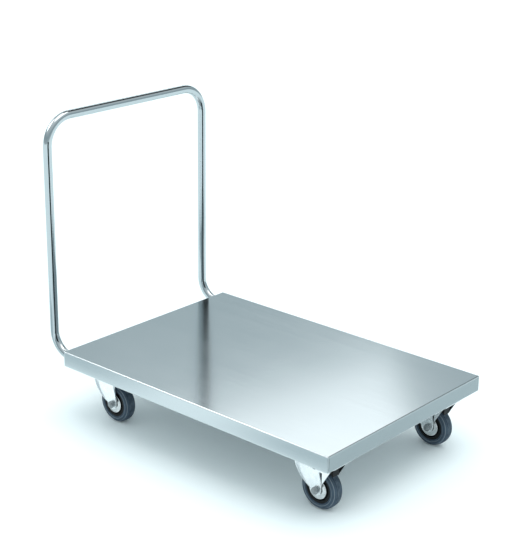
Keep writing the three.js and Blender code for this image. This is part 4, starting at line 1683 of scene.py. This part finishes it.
@dataclass
class PlateBolts:
    """The bolts, washers and nuts that hold the four casters to the cross members."""

    across: float = 13 * MM
    head: float = 5.3 * MM
    nut: float = 6.5 * MM
    washer: float = 1.6 * MM
    gap: float = 0.3 * MM
    member_sheet: float = 2 * MM
    spacing: Point = (80 * MM, 60 * MM)

    def lower(self) -> bpy.types.Object:
        """Return a washer and bolt head that hang below the origin.

        Returns:
            The prototype.
        """
        part = Blank()
        rim, face = self.washer / 2, self.washer
        ring = [(4.2 * MM, 0.0), (8.2 * MM, 0.0), (8.4 * MM, -rim), (8.2 * MM, -face), (4.2 * MM, -face)]
        part.turn(ring, (0, 0, 0), Axis.Z, 32, True)
        levels = chamfer_levels(self.across, 0.0, self.head, False)
        part.loft(hexagon_rings(self.across, [(-height - face, limit) for height, limit in levels]))
        return part.finish("head_below")

    def upper(self) -> bpy.types.Object:
        """Return a nut and thread end that stand above the origin.

        Returns:
            The prototype.
        """
        part = Blank()
        part.loft(hexagon_rings(self.across, chamfer_levels(self.across, 0.0, self.nut, False)))
        crest, root, top, foot = 4.0 * MM, 3.5 * MM, self.nut + 3.4 * MM, self.nut - 0.5 * MM
        thread = [(0.0, foot), (crest, foot)]
        for ridge in range(3):
            start = self.nut + ridge * MM
            thread += [(root, start + 0.2 * MM), (crest, start + 0.7 * MM)]
        thread += [(3.2 * MM, top), (0.0, top)]
        part.turn(thread, (0, 0, 0), Axis.Z, 24)
        return part.finish("nut_above")

    def build(self, repeater: Repeater) -> None:
        """Build the heads below the caster plates and the nuts above the members' floors.

        Args:
            repeater: The tree that copies a prototype.
        """
        below: list[Vector] = []
        above: list[Vector] = []
        for corner in CORNERS:
            low, high, middle = span(f"{corner}_top_plate")
            floor = high.z + self.gap + self.member_sheet
            for sign_x, sign_y in ((-1, -1), (-1, 1), (1, -1), (1, 1)):
                x = middle.x + sign_x * self.spacing[0] / 2
                y = middle.y + sign_y * self.spacing[1] / 2
                below.append(Vector((x, y, low.z)))
                above.append(Vector((x, y, floor)))
        sets = (("caster_bolt_heads", self.lower(), below), ("caster_nuts", self.upper(), above))
        for name, prototype, places in sets:
            dress(repeater.spread(name, prototype, places, math.tau, 7), "chassis", ZINC)


# ---------------------------------------------------------------- studio


@dataclass(frozen=True)
class Lamp:
    """One soft light panel."""

    name: str
    place: tuple[float, float, float]
    target: tuple[float, float, float]
    size: Point
    power: float
    colour: Colour = (1.0, 1.0, 1.0)
    roll: float = 0.0
    in_gloss_only: bool = False

    def build(self) -> None:
        """Make the panel; the camera never sees it."""
        data = bpy.data.lights.new(self.name, "AREA")
        data.shape = "RECTANGLE"
        data.size, data.size_y = self.size
        data.energy = self.power
        data.color = self.colour
        lamp = add_object(self.name, data)
        lamp.location = self.place
        facing = (Vector(self.target) - Vector(self.place)).to_track_quat("-Z", "Y")
        turned = facing.to_matrix().to_4x4() @ Matrix.Rotation(self.roll, 4, "Z")
        lamp.rotation_euler = turned.to_euler()
        lamp.visible_camera = False
        if self.in_gloss_only:
            lamp.visible_diffuse = False


DECK_PANEL = Lamp(
    "deck_panel", (-2.8, 3.62, 3.95), (0.4, -0.2, 0.22), (2.4, 2.7), 20.0, roll=0.35, in_gloss_only=True
)
EDGE_PANEL = Lamp("edge_panel", (-3.0, -1.9, 3.7), (0.4, -0.2, 0.22), (2.4, 2.0), 60.0, in_gloss_only=True)


def add_card(name: str, corners: Sequence[Sequence[float]], finish: Finish) -> bpy.types.Object:
    """Make a flat card that is not part of the truck.

    Args:
        name: The card's name.
        corners: Its corners.
        finish: Its finish.

    Returns:
        The card.
    """
    data = bpy.data.meshes.new(name)
    data.from_pydata(list(corners), [], [tuple(range(len(corners)))])
    card = add_object(name, data)
    data.materials.append(finish.make())
    return card


def add_flag(name: str, corners: Sequence[Sequence[float]], finish: Finish) -> None:
    """Make a card that shows only in reflections.

    Args:
        name: The card's name.
        corners: Its corners.
        finish: Its finish.
    """
    card = add_card(name, corners, finish)
    card.visible_camera = card.visible_diffuse = card.visible_shadow = False


def raised(corners: Sequence[Point], height: float) -> list[tuple[float, float, float]]:
    """Return flat corners at a height."""
    return [(x, y, height) for x, y in corners]


@dataclass
class Studio:
    """The pale floor, the soft light round the truck and the camera."""

    floor_half: float = 60.0
    floor_colour: Colour = (0.90, 0.955, 0.97)
    camera_place: tuple[float, float, float] = (2.5945, -2.9618, 1.9107)
    heading: float = 131.165
    pitch: float = 19.761
    roll: float = 0.698
    lens: float = 91.29
    flag_heading: float = -23.0
    flag_distance: float = 36 * MM
    flag_half: float = 9 * MM
    sky_stops: Sequence[tuple[float, Colour]] = (
        (0.0, (0.55, 0.63, 0.66)),
        (0.32, (0.42, 0.53, 0.57)),
        (0.5, (0.62, 0.7, 0.73)),
        (1.0, (0.95, 0.98, 1.0)),
    )
    diffuse_sky: Colour = (1.0, 1.12, 1.15)
    patch_towards: tuple[float, float, float] = (-0.14, 0.70, 0.69)
    patch_cosines: Point = (0.93, 0.975)
    patch_depth: float = 0.92
    patch_colour: Colour = (0.03, 0.045, 0.055)

    def build_floor(self) -> None:
        """Make the floor."""
        half = self.floor_half
        finish = Finish("studio_floor", "", self.floor_colour, 0.9)
        add_card("studio_floor", raised(rectangle(-half, -half, half, half), 0.0), finish)

    def build_sky(self) -> None:
        """Make the world: pale all round, brighter overhead, with one dark patch for the tube's line."""
        world = bpy.data.worlds.new("studio_sky")
        world.use_nodes = True
        world.node_tree.nodes.clear()
        bpy.context.scene.world = world
        tree = NodeTree(world.node_tree)
        direction = tree.add("ShaderNodeTexCoord", {}, {}, "Generated")
        height = tree.add("ShaderNodeSeparateXYZ", {}, {"Vector": direction}, "Z")
        sky = tree.add("ShaderNodeValToRGB", {"stops": self.sky_stops}, {"Fac": height}, "Color")
        unit = tuple(Vector(self.patch_towards).normalized())
        nearness = tree.vector("DOT_PRODUCT", {0: direction, 1: unit}, "Value")
        shade = 1.0 - nearness.rise(*self.patch_cosines) * self.patch_depth
        sky = tree.mix(shade, self.patch_colour, sky)
        path = tree.node("ShaderNodeLightPath", {}, {})
        sky = tree.mix(Sig(tree, path.outputs["Is Diffuse Ray"]), sky, self.diffuse_sky)
        sky = tree.mix(Sig(tree, path.outputs["Is Camera Ray"]), sky, (1.0, 1.0, 1.0))
        glow = tree.add("ShaderNodeBackground", {}, {"Color": sky, "Strength": 1.0})
        tree.node("ShaderNodeOutputWorld", {}, {"Surface": glow})

    def build_sun(self) -> None:
        """Make the broad overhead source that lights the floor evenly and casts the soft shadow."""
        data = bpy.data.lights.new("overhead_source", "SUN")
        data.energy = 0.95
        data.angle = math.radians(52)
        data.color = (1.0, 0.97, 0.95)
        sun = add_object("overhead_source", data)
        sun.rotation_euler = Vector((-0.1, -0.12, -1.0)).to_track_quat("-Z", "Y").to_euler()
        sun.visible_camera = False

    def build_line_cards(self) -> None:
        """Make the cards that draw the dark lines on the tube."""
        low, high, _ = span("push_handle")
        heading = math.radians(self.flag_heading)
        away = Vector((math.cos(heading), math.sin(heading), 0))
        along = Vector((-away.y, away.x, 0)) * self.flag_half
        rise = (Vector((0, 0, low.z + 60 * MM)), Vector((0, 0, high.z - 80 * MM)))
        for side, leg_y in (("right", low.y + TUBE_RADIUS), ("left", high.y - TUBE_RADIUS)):
            middle = Vector((low.x + TUBE_RADIUS, leg_y, 0)) + away * self.flag_distance
            corners = [middle - along + rise[0], middle + along + rise[0]]
            corners += [middle + along + rise[1], middle - along + rise[1]]
            add_flag(f"line_card_{side}", corners, DARK_CARD)
        bar, half = low.x + TUBE_RADIUS - 9 * MM, 11 * MM
        strip = rectangle(bar - half, low.y + 90 * MM, bar + half, high.y)
        add_flag("line_card_bar", raised(strip, high.z + 26 * MM), DARK_CARD)

    def build_skirt_cards(self) -> None:
        """Make the cards on the floor that grey the front and right skirts: painted reflections of shaded
        floor, seen only in their gloss.
        """
        low, high, _ = span("deck_tray")
        front = rectangle(high.x + 0.12, low.y, high.x + 0.75, high.y + 0.6)
        add_flag("front_card", raised(front, 4 * MM), FRONT_CARD)
        x, y, half = high.x + 0.36, low.y - 0.42, 0.2
        add_flag("corner_card", raised(rectangle(x - half, y - half, x + half, y + half), 5 * MM), DARK_CARD)
        side = rectangle(-1.3, low.y - 0.9, 0.7, low.y - 0.26)
        add_flag("side_card", raised(side, 4 * MM), SIDE_CARD)

    def build_camera(self) -> None:
        """Make the camera from its place, heading, pitch and roll."""
        data = bpy.data.cameras.new("camera")
        data.lens = self.lens
        data.clip_end = 200.0
        camera = add_object("camera", data)
        heading, pitch, roll = (math.radians(value) for value in (self.heading, self.pitch, self.roll))
        flat = math.cos(pitch)
        ahead = Vector((math.cos(heading) * flat, math.sin(heading) * flat, -math.sin(pitch)))
        level = Vector((math.sin(heading), -math.cos(heading), 0.0))
        above = level.cross(ahead)
        right = level * math.cos(roll) + above * math.sin(roll)
        up = above * math.cos(roll) - level * math.sin(roll)
        basis = Matrix((right, up, -ahead)).transposed().to_4x4()
        camera.matrix_world = Matrix.Translation(self.camera_place) @ basis
        bpy.context.scene.camera = camera

    def build(self) -> None:
        """Make the whole studio."""
        self.build_floor()
        self.build_sky()
        self.build_sun()
        self.build_line_cards()
        self.build_skirt_cards()
        for lamp in (DECK_PANEL, EDGE_PANEL):
            lamp.build()
        self.build_camera()
        bpy.context.scene.view_settings.view_transform = "Standard"


def main() -> None:
    logging.basicConfig(level=logging.INFO, format="%(name)s: %(message)s")
    repeater = Repeater("copies_on_points")
    Deck().build()
    PushHandle().build()
    UnderFrame().build(repeater)
    for corner in CORNERS:
        Wheel(corner).build()
        Fork(corner).build()
        if corner.startswith("front"):
            Brake(corner).build(repeater)
    PlateBolts().build(repeater)
    Studio().build()


if __name__ == "__main__":
    main()
